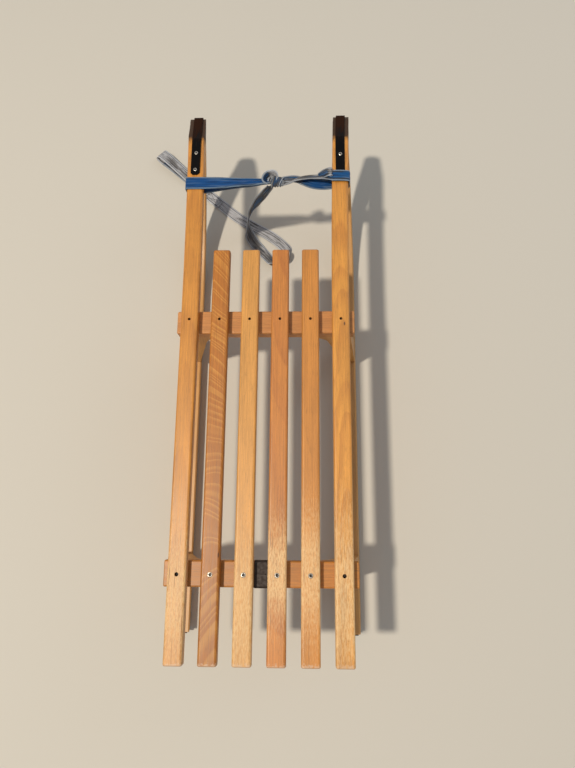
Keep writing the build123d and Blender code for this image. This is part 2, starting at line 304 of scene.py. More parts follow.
STRAP_WIDTH = 25 * MM
STRAP_THICKNESS = 1.6 * MM
GATHERED_WIDTH = 8 * MM
PLEAT_DEPTH = 1.7 * MM
PLEAT_WAVES, PLEAT_DRIFT = 2.5, 3
EDGE_THICKNESS = 0.4
ACROSS = 12
BACK_SHIFT = 0.1
SHARP_ANGLE = math.radians(50)


def ribbon(name, line, width_marks, gather_marks=((0, 0.0),), fade_and_shade_marks=((0, 0.5),), floor_z=None):
    """A closed band along line, and the middle of each of its rings.

    The marks list (share of the length, value): the width's direction, how far the strap is
    gathered from 0 to 1, and how faded it is from 0 to 1, which in places also stands for painted
    shade. Rings that would dip under floor_z rise."""
    spans = [0.0]
    for start, end in zip(line, line[1:]):
        spans.append(spans[-1] + (end - start).length)
    directions = [(share, Vector(direction).normalized()) for share, direction in width_marks]
    steps = [-1 + 2 * k / ACROSS for k in range(ACROSS + 1)]
    section = [(u, 1.0 if abs(u) < 1 else EDGE_THICKNESS) for u in steps]
    section += [(u, -v) for u, v in reversed(section)]
    count = len(section)
    mesh = bmesh.new()
    uv = mesh.loops.layers.uv.new("strap")
    fade = mesh.verts.layers.float.new("fade")
    gathered = mesh.verts.layers.float.new("gathered")
    rings, middles = [], []
    for index, point in enumerate(line):
        tangent = (line[min(index + 1, len(line) - 1)] - line[max(index - 1, 0)]).normalized()
        share = spans[index] / spans[-1]
        across = ease_between(directions, share)
        across = (across - tangent * across.dot(tangent)).normalized()
        normal = tangent.cross(across)
        gather = ease_between(gather_marks, share)
        width = STRAP_WIDTH + (GATHERED_WIDTH - STRAP_WIDTH) * gather
        places = []
        for u, v in section:
            pleat = PLEAT_DEPTH * gather * math.cos(PLEAT_WAVES * math.pi * u + PLEAT_DRIFT * share)
            places.append(point + across * (u * width / 2) + normal * (v * STRAP_THICKNESS / 2 + pleat))
        lift = 0.0
        if floor_z is not None:
            lift = max(0.0, floor_z - min(place.z for place in places))
        rings.append([mesh.verts.new(place + Vector((0, 0, lift))) for place in places])
        middles.append(point + Vector((0, 0, lift)))
        for vert in rings[-1]:
            vert[fade] = ease_between(fade_and_shade_marks, share)
            vert[gathered] = gather
    for index, (ring, following) in enumerate(zip(rings, rings[1:])):
        for k in range(count):
            j = (k + 1) % count
            face = mesh.faces.new((ring[k], ring[j], following[j], following[k]))
            shift = BACK_SHIFT if section[k][1] < 0 and section[j][1] < 0 else 0.0
            cloth = [section[k][0], section[j][0], section[j][0], section[k][0]]
            along = [spans[index], spans[index], spans[index + 1], spans[index + 1]]
            for loop, u, v in zip(face.loops, cloth, along):
                loop[uv].uv = (u * STRAP_WIDTH / 2 + shift, v)
    mesh.faces.new(list(reversed(rings[0])))
    mesh.faces.new(rings[-1])
    for edge in mesh.edges:
        edge.smooth = edge.calc_face_angle(0) < SHARP_ANGLE
    for face in mesh.faces:
        face.smooth = True
    piece = from_bmesh(name, mesh)
    print(name, round(spans[-1], 3), "m long,", len(piece.data.polygons), "faces")
    return piece, middles


# %% [markdown]
# ## The tail
#
# The tail leaves the knot nearly face up, turns edge on half way down, and lies on the floor.
# Where it turns back under the slats it stands on its edge, because flat webbing can't turn in
# its own plane. The marks along the tail say so.

# %% Tail
tail, tail_middles = ribbon(
    "strap_tail_webbing", tail_line,
    width_marks=[
        (0.00, (0.97, 0.2, 0.1)), (0.07, (0.95, 0.3, 0.15)), (0.12, (0.85, 0.5, 0.35)),
        (0.20, (0.25, 0.9, 0.45)), (0.245, (0.15, 0.95, 0.1)), (0.33, (0.77, 0.64, 0)),
        (0.40, (0.55, 0.5, 0.35)), (0.43, (0, 0, 1)), (0.475, (0, 0, 1)), (0.51, (0.5, 0.75, 0.12)),
        (0.55, (0.5, 0.85, 0)), (1.00, (0.66, 0.75, 0)),
    ],
    gather_marks=[(0, 0.6), (0.02, 0.25), (0.06, 0.0), (0.15, 0.1), (0.2, 0.25), (0.28, 0.0)],
    # From 0.85 on, the tail is the hand loop's lower layer, and its dark grey there is painted shade inside
    # the loop
    fade_and_shade_marks=[
        (0, 0.45), (0.08, 0.4), (0.22, 0.48), (0.3, 0.64), (0.45, 0.66), (0.53, 0.92), (0.81, 0.97),
        (0.85, 0.5), (1, 0.5),
    ],
    floor_z=0.4 * MM,
)

# %% [markdown]
# ## The sewn end and the hand loop
#
# The tail's far end turns back on itself and is sewn down, which leaves a loop for the hand. The
# tail's own ribbon is the lower layer of that loop. One more ribbon starts at its tip, goes round
# a small bend and comes back on top to the flap. The upper layer stands a little open, and the
# tail's end under it is painted dark grey as the shade inside the loop, which shows along one edge.

# %% Hand loop
loop_line = smooth_line("loop line", behind_front([
    (260, -48, 1.6), (272, -58, 1.6), (272, -61, 9), (266, -57, 17), (253, -46, 18), (229, -24, 14),
    (198, 4, 8), (170, 31, 3.6), (158, 41, 3.0), (143, 55, 3.0), (126, 70, 3.6),
]))
hand_loop, _ = ribbon(
    "strap_hand_loop_webbing", loop_line,
    width_marks=[
        (0, (0.66, 0.75, 0)), (0.15, (0.7, 0.7, 0.02)), (0.3, (0.68, 0.72, 0.14)), (0.6, (0.66, 0.74, 0.1)),
        (0.75, (0.66, 0.75, 0)), (1, (0.66, 0.75, 0)),
    ],
    fade_and_shade_marks=[(0, 0.82), (0.82, 0.84), (0.9, 1.0), (1, 1.0)],
    floor_z=0.3 * MM,
)

# %% [markdown]
# ## The slings
#
# On each side the strap goes over the outer slat and comes back under it, and both strands run
# to the knot. The left strands lie one above the other. The right strands are twisted round each
# other once on their way, and gather as they near the knot.

# %% Slings
def at(*corners):
    """Points in metres from corners in millimetres."""
    return [Vector(corner) * MM for corner in corners]


left_line = smooth_line("left sling line", at(
    (-18, -341, 233), (0, -341, 232.5), (18, -340.5, 233), (46, -339, 234.5), (82, -337, 236.5),
    (112, -335.5, 238.6), (124, -335, 239.6), (147, -335, 239.6), (153.2, -335, 239.6), (153.2, -335.5, 233),
    (153.2, -336.5, 225), (153.2, -337, 218.4), (147, -337.5, 218.4), (124, -338, 218.4), (112, -339, 219.4),
    (82, -341, 222), (46, -342, 226), (18, -342, 229.5), (0, -342, 230.5), (-18, -341, 230),
))
left_sling, _ = ribbon(
    "strap_sling_left_webbing", left_line,
    width_marks=[
        (0, (0.05, 1, 0.35)), (0.12, (0, 1, 0.12)), (0.3, (0, 1, 0)), (0.7, (0, 1, 0)), (1, (0.05, 1, -0.2)),
    ],
    gather_marks=[
        (0, 1.0), (0.05, 0.85), (0.16, 0.45), (0.34, 0.05), (0.4, 0), (0.6, 0), (0.84, 0.4), (1, 1.0),
    ],
    fade_and_shade_marks=[(0, 0.35), (0.08, 0.1), (0.4, 0.0), (1, 0.1)],
)

right_line = smooth_line("right sling line", at(
    (-12, -340, 233), (-22, -338, 233), (-32, -336.5, 233), (-44, -336.5, 236), (-57, -342, 238.5),
    (-76, -346, 238.5), (-96, -346.5, 238), (-110, -346, 239.5), (-121, -346, 242.2), (-135, -346, 242.4),
    (-148, -346, 241.4), (-154.2, -346, 239.4), (-154.2, -346, 231), (-154.2, -346, 224), (-154, -346, 218.4),
    (-148, -346, 218.4), (-126, -345, 218.4), (-113, -341, 220), (-90, -339, 225), (-68, -342, 229),
    (-54, -347, 231), (-39, -346, 233), (-25, -344, 233), (-12, -341, 231),
))
right_sling, _ = ribbon(
    "strap_sling_right_webbing", right_line,
    width_marks=[
        (0, (0.2, 1, 0.2)), (0.1, (0.7, 0.75, 0.5)), (0.2, (0.3, 0.9, 0.6)), (0.3, (0, 1, 0.6)),
        (0.37, (0, 1, 0)), (0.62, (0, 1, 0)), (0.72, (0, 1, -0.5)), (0.85, (0.4, 0.9, 0.3)),
        (1, (0.1, 1, 0.1)),
    ],
    gather_marks=[
        (0, 0.9), (0.12, 0.45), (0.26, 0.42), (0.33, 0.36), (0.38, 0.14), (0.6, 0.14), (0.68, 0.3),
        (0.85, 0.42), (1, 0.9),
    ],
    fade_and_shade_marks=[
        (0, 0.5), (0.12, 0.66), (0.28, 0.62), (0.36, 0.26), (0.6, 0.2), (0.75, 0.1), (0.9, 0.5), (1, 0.5),
    ],
)

# %% [markdown]
# ### The tuck
#
# Where the right strands meet the slat, one edge of the webbing has folded over and is pinched
# against the wood. It is a short extra fold of ribbon, which rises, turns down and ends under
# itself, and its far side throws a thin dark shadow on the wrap.

# %% Tuck in the right sling
tuck_line = smooth_line("tuck line", at(
    (-96, -347, 240), (-103, -349, 242), (-111, -351, 245), (-117, -351.5, 246.8), (-120, -351.5, 246),
    (-120, -351, 243.8), (-115, -350, 243),
))
tuck, _ = ribbon(
    "strap_tuck_webbing", tuck_line,
    width_marks=[(0, (0.1, 1, -0.3)), (0.5, (-0.15, 1, 0)), (1, (0.1, 1, 0))],
    gather_marks=[(0, 0.9), (0.4, 0.45), (0.7, 0.4), (1, 0.6)],
    fade_and_shade_marks=[(0, 0.3), (0.5, 0.45), (0.7, 0.75), (1, 0.4)],
)

# %% [markdown]
# ## The knot
#
# The knot is the strap's own gathered webbing, wound round both strands and pulled tight, with a
# small bight left standing above it. A little over two turns of ribbon along a short helix give
# the same lumps and creases.

# %% Knot
KNOT_CENTRE = Vector((-18, -340, 232)) * MM
KNOT_TURNS, KNOT_START, KNOT_STEPS = 2.1, 0.9, 120
KNOT_LENGTH, KNOT_RADIUS, KNOT_SWELL, KNOT_TILT = 18 * MM, 7.0 * MM, 1.6 * MM, 2.2 * MM
KNOT_FLATNESS = 0.95
turns = []
for step in range(KNOT_STEPS + 1):
    share = step / KNOT_STEPS
    angle = share * KNOT_TURNS * 2 * math.pi + KNOT_START
    radius = KNOT_RADIUS + KNOT_SWELL * math.sin(math.pi * share)
    along = KNOT_LENGTH * (0.5 - share) + KNOT_TILT * math.cos(angle)
    height = KNOT_FLATNESS * radius * math.sin(angle)
    turns.append(KNOT_CENTRE + Vector((along, radius * math.cos(angle), height)))
knot, _ = ribbon(
    "strap_knot_webbing", turns,
    width_marks=[(0, (1, 0.25, 0.1)), (0.3, (1, 0.2, -0.2)), (0.6, (1, -0.2, 0.2)), (1, (1, 0.15, -0.1))],
    gather_marks=[(0, 0.5), (0.3, 0.65), (0.6, 0.4), (0.8, 0.7), (1, 0.6)],
    fade_and_shade_marks=[(0, 0.6), (0.3, 0.6), (0.5, 0.45), (0.75, 0.62), (1, 0.5)],
)
bight_line = smooth_line("bight line", at(
    (0, -337, 231), (4, -340, 233), (6, -345, 236), (2, -350, 239), (-4, -352, 240.5), (-9, -352, 241),
    (-13, -350, 240.5), (-15, -345, 238.5), (-15, -339, 237),
))
bight, _ = ribbon(
    "strap_bight_webbing", bight_line,
    width_marks=[
        (0, (0.5, 0.4, 0.8)), (0.25, (0.75, 0.1, 0.65)), (0.5, (0.3, -0.5, 0.8)), (0.7, (-0.4, -0.75, 0.5)),
        (0.85, (-0.8, -0.4, 0.4)), (1, (-0.9, 0.1, 0.2)),
    ],
    gather_marks=[(0, 0.85), (0.25, 0.7), (0.5, 0.7), (0.72, 0.55), (1, 0.85)],
    fade_and_shade_marks=[(0, 0.3), (0.45, 0.35), (0.6, 0.85), (1, 0.8)],
)

# %% [markdown]
# ## The webbing
#
# The strap is woven cotton webbing, 25 mm wide. Its face was dyed blue, and sun, rubbing and
# damp have turned much of it a pale warm grey. The warp threads run along it, so colour and
# wear come in long streaks. The two selvedges are paler. All of it follows the strap, so the
# material reads the UV map, in metres, and two attributes that the ribbon carries: how faded it
# is, which in places also darkens it as painted shade, and how gathered it is.

# %% Dye of the webbing
webbing, tree = new_material("faded_blue_cotton_webbing")
cloth = add(tree, "ShaderNodeUVMap", uv_map="strap")
cloth_u = add(tree, SPLIT, [cloth])
cloth_v = add(tree, SPLIT, [cloth], out=1)
is_back = add(tree, MATH, [cloth_u, BACK_SHIFT / 2], operation="GREATER_THAN")
across_cloth = add(tree, MATH, [is_back, -BACK_SHIFT, cloth_u], operation="MULTIPLY_ADD")
from_middle = add(tree, MATH, [across_cloth], operation="ABSOLUTE")
fade = add(tree, "ShaderNodeAttribute", out="Fac", attribute_name="fade")

# Streaks about 3 mm wide and 60 mm long, and blotches about 25 mm long
streak_place = add(tree, VECTOR_MATH, [cloth, (330, 17, 0)], operation="MULTIPLY")
streaks = add(tree, NOISE, {"Vector": streak_place, "Scale": 1.0, "Detail": 3.0, "Roughness": 0.6})
blotch_place = add(tree, VECTOR_MATH, [cloth, (90, 40, 0)], operation="MULTIPLY")
blotches = add(tree, NOISE, {"Vector": blotch_place, "Scale": 1.0, "Detail": 3.0, "Roughness": 0.6})
uneven_streaks = add(tree, RANGE, [streaks, 0.3, 0.7, -0.26, 0.26])
uneven_blotches = add(tree, RANGE, [blotches, 0.3, 0.7, -0.16, 0.16])
uneven = add(tree, MATH, [uneven_streaks, uneven_blotches], operation="ADD")
uneven = add(tree, MATH, [uneven, add(tree, RANGE, [fade, 0.0, 0.5, 0.5, 1.0])], operation="MULTIPLY")
worn_share = add(tree, MATH, [uneven, fade], operation="ADD")

# The edges rub more than the middle, which keeps its dye longest
rubbed = add(tree, RANGE, [from_middle, 0.003, 0.0105, -0.07, 0.13], **EASED)
worn_share = add(tree, MATH, [worn_share, rubbed], operation="ADD", use_clamp=True)
dye = add(tree, "ShaderNodeValToRGB", [worn_share])
stops = dye.node.color_ramp.elements
stops[0].position, stops[0].color = 0.05, colour("044784")
stops[1].position, stops[1].color = 0.95, colour("b9b9bd")
# The dark grey at 0.43 stands for dirt and painted shade together
for position, tint in [(0.26, "165488"), (0.43, "363c46"), (0.6, "605c59"), (0.76, "868689")]:
    stops.new(position).color = colour(tint)
print("the dye runs through", len(stops), "colours")

# %% [markdown]
# ### Selvedges and creases
#
# The two edges are woven tighter and catch more light, so they are painted paler, partly as a
# painted highlight, and a line of painted shade runs just inside them. Creases run along the
# strap and are deep where it is gathered.

# %% Selvedges and creases
# The pale selvedge is a paler weave and partly a painted highlight
selvedge = add(tree, RANGE, [from_middle, 0.0094, 0.0102, 0.0, 0.85], **EASED)
edge_tint = add(tree, MIX, {0: fade, 6: colour("6a8198"), 7: colour("c9cbd0")}, **COLOURS)
dyed_and_shaded = add(tree, MIX, {0: selvedge, 6: dye, 7: edge_tint}, **COLOURS)
# A line of painted shade just inside each edge, stronger where the strap is faded
edge_shade_line = add(tree, MATH, [from_middle, 0.0086, 0.0007], operation="COMPARE")
edge_shade_line = add(tree, MATH, [edge_shade_line, add(tree, RANGE, [fade, 0.0, 1.0, 0.3, 0.8])], operation="MULTIPLY")
dyed_and_shaded = add(tree, MIX, {0: edge_shade_line, 6: dyed_and_shaded, 7: colour("1c2733")}, **COLOURS)

# Lengthwise creases 3 mm wide and 45 mm long, with painted shade inside and a painted highlight
# on top, which are deep where the strap is gathered and faint where it lies flat
gathered = add(tree, "ShaderNodeAttribute", out="Fac", attribute_name="gathered")
crease_place = add(tree, VECTOR_MATH, [cloth, (320, 22, 0), (7, 3, 0)], operation="MULTIPLY_ADD")
creases = add(tree, NOISE, {"Vector": crease_place, "Scale": 1.0, "Detail": 2.0})
depth = add(tree, RANGE, [gathered, 0.0, 0.35, 0.45, 1.0])
crease_shade = add(tree, RANGE, [creases, 0.48, 0.34, 0.0, 0.8], **EASED)
crease_shade = add(tree, MATH, [crease_shade, depth], operation="MULTIPLY")
dyed_and_shaded = add(tree, MIX, {0: crease_shade, 6: dyed_and_shaded, 7: colour("0e151f")}, **COLOURS)
crease_highlight = add(tree, RANGE, [creases, 0.54, 0.7, 0.0, 0.6], **EASED)
crease_highlight = add(tree, MATH, [crease_highlight, depth], operation="MULTIPLY")
dyed_and_shaded = add(tree, MIX, {0: crease_highlight, 6: dyed_and_shaded, 7: edge_tint}, **COLOURS)
crease_height = add(tree, MATH, [creases, depth], operation="MULTIPLY")
creased = add(tree, "ShaderNodeBump", {"Height": crease_height, "Strength": 0.8, "Distance": 1.2 * MM})
print("the webbing has", len(tree.nodes), "nodes so far")

# %% [markdown]
# ### Ribs and nap
#
# The weave's slanting ribs are 1.2 mm apart. Worn cotton is matt and has a little nap, so the
# shader gets a soft sheen and hardly any gloss.

# %% Ribs and nap
RIB_PITCH, RIB_SLANT = 1.2 * MM, 0.6
slant = add(tree, MATH, [cloth_v, RIB_SLANT, across_cloth], operation="MULTIPLY_ADD")
turn = add(tree, MATH, [slant, 2 * math.pi / RIB_PITCH], operation="MULTIPLY")
ribs = add(tree, MATH, [add(tree, MATH, [turn], operation="SINE"), 0.5, 0.5], operation="MULTIPLY_ADD")
# Painted shade between the ribs: the colour darkens where the rib relief is low
rib_shade = add(tree, RANGE, [ribs, 0.0, 1.0, 0.8, 1.06])
dyed_and_shaded = add(tree, VECTOR_MATH, {0: dyed_and_shaded, "Scale": rib_shade}, operation="SCALE")
bump = add(tree, "ShaderNodeBump", {"Height": ribs, "Strength": 0.6, "Distance": 0.25 * MM, "Normal": creased})
# The base colour is the dye with painted shade and painted highlights on top
shader = add(tree, "ShaderNodeBsdfPrincipled", {
    "Base Color": dyed_and_shaded, "Roughness": 0.9, "Normal": bump, "Sheen Weight": 0.15, "Sheen Roughness": 0.5,
    "Specular IOR Level": 0.3,
})
show(tree, shader)

# %% [markdown]
# The webbing goes on every length of strap. Each piece rides on the sled's one body, and the
# four that stand for solids of the frame take those solids' places.

# %% Webbing on the strap
for piece in (tail, hand_loop, left_sling, right_sling, tuck, knot, bight):
    piece.data.materials.append(webbing)
    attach(piece, "root")
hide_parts("strap_tail", "strap_hand_loop")
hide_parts("strap_sling_left")
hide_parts("strap_sling_right")
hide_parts("strap_knot")
print("5 solids are replaced by webbing")

# %% [markdown]
# ## Varnished wood
#
# The sled is made of pale hardwood strips under clear varnish that has yellowed. Wood's figure
# comes from its growth rings, which are cylinders about the tree's middle, the pith. A board cut
# near the pith's line shows long straight lines, and one where the rings run nearly flat shows
# arches. So the pattern here is solid: we measure each point's distance from a pith line, which
# is tilted a little and wanders, and count the rings. The same rings then meet at every edge and
# show on the end grain. Fine fibres, small dark flecks, a slow change of tone, pale patches where
# the varnish has worn off, and the varnish coat itself complete the recipe.

# %% Growth rings
def growth_rings(tree, place, pith, tilt, ring, wander, seed, early, uneven):
    """0 in the early wood and 1 in the late wood of each growth ring, about a pith line.

    place holds coordinates across, along and through the strip, and pith is where the pith line
    passes the strip's middle, across and through. tilt is how far it moves for each metre along,
    early is the share of each ring that is plain early wood, and uneven is how much good and bad
    years differ."""
    low = add(tree, VECTOR_MATH, [place, (9, 5.5, 9)], operation="MULTIPLY")
    low = add(tree, VECTOR_MATH, [low, (seed, 1.7 * seed, -seed)], operation="ADD")
    drift = add(tree, NOISE, {"Vector": low, "Scale": 1.0, "Detail": 1.0}, out="Color")
    sway = add(tree, VECTOR_MATH, [drift, (2 * wander,) * 3, (-wander,) * 3], operation="MULTIPLY_ADD")
    along = add(tree, SPLIT, [place], out=1)
    line = add(tree, JOIN, [along, along, along])
    slope, start = (tilt[0], 0, tilt[1]), (pith[0], 0, pith[1])
    line = add(tree, VECTOR_MATH, [line, slope, start], operation="MULTIPLY_ADD")
    from_line = add(tree, VECTOR_MATH, [place, line], operation="SUBTRACT")
    from_line = add(tree, VECTOR_MATH, [from_line, sway], operation="ADD")
    from_line = add(tree, VECTOR_MATH, [from_line, (1, 0, 1)], operation="MULTIPLY")
    radius = add(tree, VECTOR_MATH, [from_line], out="Value", operation="LENGTH")
    years = add(tree, MATH, [radius, ring], operation="DIVIDE")
    slow_years = add(tree, MATH, [years, 0.45], operation="MULTIPLY")
    growth = add(tree, NOISE, {"W": slow_years, "Scale": 1.0, "Detail": 1.0}, noise_dimensions="1D")
    season = add(tree, MATH, [growth, uneven, years], operation="MULTIPLY_ADD")
    season = add(tree, MATH, [season], operation="FRACT")
    rise = add(tree, RANGE, [season, early, 0.9], **EASED)
    fall = add(tree, RANGE, [season, 0.9, 1.0, 1.0, 0.0], **EASED)
    return add(tree, MATH, [rise, fall], operation="MULTIPLY")


# %% [markdown]
# ### Fibres, pores and flecks
#
# Up close the strips are streaky. Bundles of fibres run along them, about 1 mm wide and 70 mm
# long, between darker pores 17 mm long and ray flecks of 0.7 by 4 mm. We stretch one noise after
# another to those sizes and multiply them. The pores are drawn twice as wide as real ones,
# because finer ones would vanish from where the camera stands.

# %% Streaky shade
def streaky_shade(tree, place, seed):
    """A brightness for the wood, and the fibres alone, which also shape its gloss and relief."""
    broad = add(tree, VECTOR_MATH, [place, (30, 4, 30), (-seed, seed, seed)], operation="MULTIPLY_ADD")
    broad = add(tree, NOISE, {"Vector": broad, "Scale": 1.0})
    tone = add(tree, RANGE, [broad, 0.3, 0.7, 0.84, 1.12])
    fibres = add(tree, VECTOR_MATH, [place, (800, 14, 800), (seed, seed, seed)], operation="MULTIPLY_ADD")
    fibres = add(tree, NOISE, {"Vector": fibres, "Scale": 1.0, "Detail": 3.0, "Roughness": 0.65})
    fibre_tone = add(tree, RANGE, [fibres, 0.3, 0.7, 0.78, 1.13])
    pores = add(tree, VECTOR_MATH, [place, (1200, 60, 1200), (seed, -seed, seed)], operation="MULTIPLY_ADD")
    pores = add(tree, NOISE, {"Vector": pores, "Scale": 1.0, "Detail": 2.0})
    pore_tone = add(tree, RANGE, [pores, 0.55, 0.7, 1.0, 0.78], **EASED)
    flecks = add(tree, VECTOR_MATH, [place, (1400, 260, 1400), (seed, seed, seed)], operation="MULTIPLY_ADD")
    flecks = add(tree, NOISE, {"Vector": flecks, "Scale": 1.0, "Detail": 1.0})
    fleck_tone = add(tree, RANGE, [flecks, 0.64, 0.74, 1.0, 0.78], **EASED)
    slow_shade = add(tree, MATH, [tone, fibre_tone], operation="MULTIPLY")
    fine_shade = add(tree, MATH, [pore_tone, fleck_tone], operation="MULTIPLY")
    return add(tree, MATH, [slow_shade, fine_shade], operation="MULTIPLY"), fibres


# %% [markdown]
# ### Wear
#
# Where riders sit, the varnish is rubbed through. The bare wood is paler and dull, dirt has
# settled in pits of about 1 by 4 mm, and fine cracks have opened along the grain. A worn patch
# has a middle and a reach along the strip, and noise makes its edge ragged.

# %% Worn varnish
def worn_varnish(tree, place, tint, rough, middle, reach, amount, dirty, seed):
    """Colour, roughness and bareness of wood that is worn around middle, in metres along it.

    amount is how far the varnish is gone and dirty how full of dirt its pits and cracks are."""
    far = add(tree, MATH, [add(tree, SPLIT, [place], out=1), middle], operation="SUBTRACT")
    near = add(tree, RANGE, [add(tree, MATH, [far], operation="ABSOLUTE"), reach, 0.2 * reach, 0.0, amount])
    ragged = add(tree, VECTOR_MATH, [place, (620, 130, 620), (seed, seed, seed)], operation="MULTIPLY_ADD")
    ragged = add(tree, NOISE, {"Vector": ragged, "Scale": 1.0, "Detail": 3.0, "Roughness": 0.6})
    bare = add(tree, RANGE, [add(tree, MATH, [near, 0.35, ragged], operation="MULTIPLY_ADD"), 0.58, 0.92])
    bare = add(tree, MATH, [bare, near], operation="MULTIPLY", use_clamp=True)
    from_middle = add(tree, MATH, [add(tree, SPLIT, [place])], operation="ABSOLUTE")
    edge = add(tree, RANGE, [from_middle, 0.0115, 0.0145, 0.0, 0.9])
    edge = add(tree, MATH, [edge, near], operation="MULTIPLY")
    edge = add(tree, MATH, [edge, ragged], operation="MULTIPLY")
    bare = add(tree, MATH, [bare, edge], operation="ADD", use_clamp=True)
    pale = add(tree, MATH, [bare, 0.7], operation="MULTIPLY")
    tint = add(tree, MIX, {0: pale, 6: tint, 7: colour("f0d09c")}, **COLOURS)
    pits = add(tree, VECTOR_MATH, [place, (800, 230, 800), (-seed, seed, seed)], operation="MULTIPLY_ADD")
    pits = add(tree, NOISE, {"Vector": pits, "Scale": 1.0, "Roughness": 0.7})
    pits = add(tree, MATH, [add(tree, RANGE, [pits, 0.58, 0.68, 0.0, 0.5]), near], operation="MULTIPLY")
    crack_shift = (seed + 0.5, seed, 0.5 - seed)
    cracks = add(tree, VECTOR_MATH, [place, (520, 17, 520), crack_shift], operation="MULTIPLY_ADD")
    cracks = add(tree, NOISE, {"Vector": cracks, "Scale": 1.0, "Detail": 2.0})
    cracks = add(tree, MATH, [add(tree, RANGE, [cracks, 0.62, 0.68, 0.0, 0.9]), near], operation="MULTIPLY")
    darkening = add(tree, MATH, [add(tree, MATH, [pits, cracks], operation="MAXIMUM"), dirty], operation="MULTIPLY")
    tint = add(tree, MIX, {0: darkening, 6: tint, 7: colour("7a4a20")}, **COLOURS)
    return tint, add(tree, MATH, [bare, 0.16, rough], operation="MULTIPLY_ADD"), bare


# %% [markdown]
# ### Knots, stains and end grain
#
# A pin knot is a dark ellipse, and a stain a larger, softer one. The sloping front of the nose
# is darkened nearly to black, in streaks. The slats' rear tips are scuffed, and every end grain
# is darker, greyer and dull, because it drinks more dirt than the faces do.

# %% Stains and ends
NOSE_DARK_FROM, NOSE_DARK_ALL = -0.405, -0.428
NOSE_TOP_Z, NOSE_SLOPE = 0.225, 0.9
TIP_SCUFFED_FROM, TIP_SCUFFED_ALL = 0.506, 0.511
RAGGED = 0.024


def stained(tree, point, tint, spots):
    """Darkens ellipses on top of the wood: middle x and y, half width, half length, hex colour, strength."""
    for x, y, across, length, tone, strength in spots:
        offset = add(tree, VECTOR_MATH, [point, (x, y, 0)], operation="SUBTRACT")
        offset = add(tree, VECTOR_MATH, [offset, (1 / across, 1 / length, 0)], operation="MULTIPLY")
        apart = add(tree, VECTOR_MATH, [offset], out="Value", operation="LENGTH")
        spot = add(tree, RANGE, [apart, 0.5, 1.3, strength, 0.0], **EASED)
        tint = add(tree, MIX, {0: spot, 6: tint, 7: colour(tone)}, **COLOURS)
    return tint


def darkened_nose_front(tree, point, tint, rough):
    """The dark front of a nose, which starts 415 mm in front of the sled's middle and ends lower down.

    Returns the colour, the roughness and how dark the nose is there. The streaks are 1.4 mm wide."""
    blotches = add(tree, NOISE, {"Vector": point, "Scale": 90.0, "Detail": 3.0, "Roughness": 0.6})
    y, z = [add(tree, SPLIT, [point], out=axis) for axis in (1, 2)]
    below = add(tree, MATH, [z, -NOSE_SLOPE, NOSE_SLOPE * NOSE_TOP_Z], operation="MULTIPLY_ADD")
    edge = add(tree, MATH, [blotches, RAGGED, y], operation="MULTIPLY_ADD")
    edge = add(tree, MATH, [edge, add(tree, MATH, [below, 0.0], operation="MAXIMUM")], operation="ADD")
    nose_darkness = add(tree, RANGE, [edge, NOSE_DARK_FROM, NOSE_DARK_ALL, 0.0, 0.95], **EASED)
    streaks = add(tree, VECTOR_MATH, [point, (700, 40, 40)], operation="MULTIPLY")
    streaks = add(tree, NOISE, {"Vector": streaks, "Scale": 1.0, "Detail": 3.0})
    darkening = add(tree, MIX, {0: streaks, 6: colour("0b0502"), 7: colour("2c180a")}, **COLOURS)
    tint = add(tree, MIX, {0: nose_darkness, 6: tint, 7: darkening}, **COLOURS)
    return tint, add(tree, MATH, [nose_darkness, 0.3, rough], operation="MULTIPLY_ADD"), nose_darkness


def scuffed_ends(tree, point, tint, rough):
    """Scuffs on the last 12 mm of the slats, and end grain."""
    scuffs = add(tree, NOISE, {"Vector": point, "Scale": 330.0, "Detail": 3.0, "Roughness": 0.65})
    reach = add(tree, MATH, [scuffs, RAGGED, add(tree, SPLIT, [point], out=1)], operation="MULTIPLY_ADD")
    tip = add(tree, RANGE, [reach, TIP_SCUFFED_FROM, TIP_SCUFFED_ALL, 0.0, 0.6], **EASED)
    tint = add(tree, MIX, {0: tip, 6: tint, 7: colour("cdb094")}, **COLOURS)
    facing = add(tree, SPLIT, [add(tree, "ShaderNodeNewGeometry", out="Normal")], out=1)
    ends = add(tree, RANGE, [add(tree, MATH, [facing], operation="ABSOLUTE"), 0.6, 0.9, 0.0, 0.55])
    tint = add(tree, MIX, {0: ends, 6: tint, 7: colour("6b4a30")}, **COLOURS)
    return tint, add(tree, MATH, [ends, 0.35, rough], operation="MULTIPLY_ADD")


# %% [markdown]
# ### The whole recipe
#
# One function puts the layers on each other, from the rings outwards, and ends in a shader with
# a thin coat of varnish. Ash and beech have an IOR of about 1.5, as the varnish has, so both
# keep the default. The coat's roughness of 0.35 is that of varnish that was brushed on and then
# used for years.

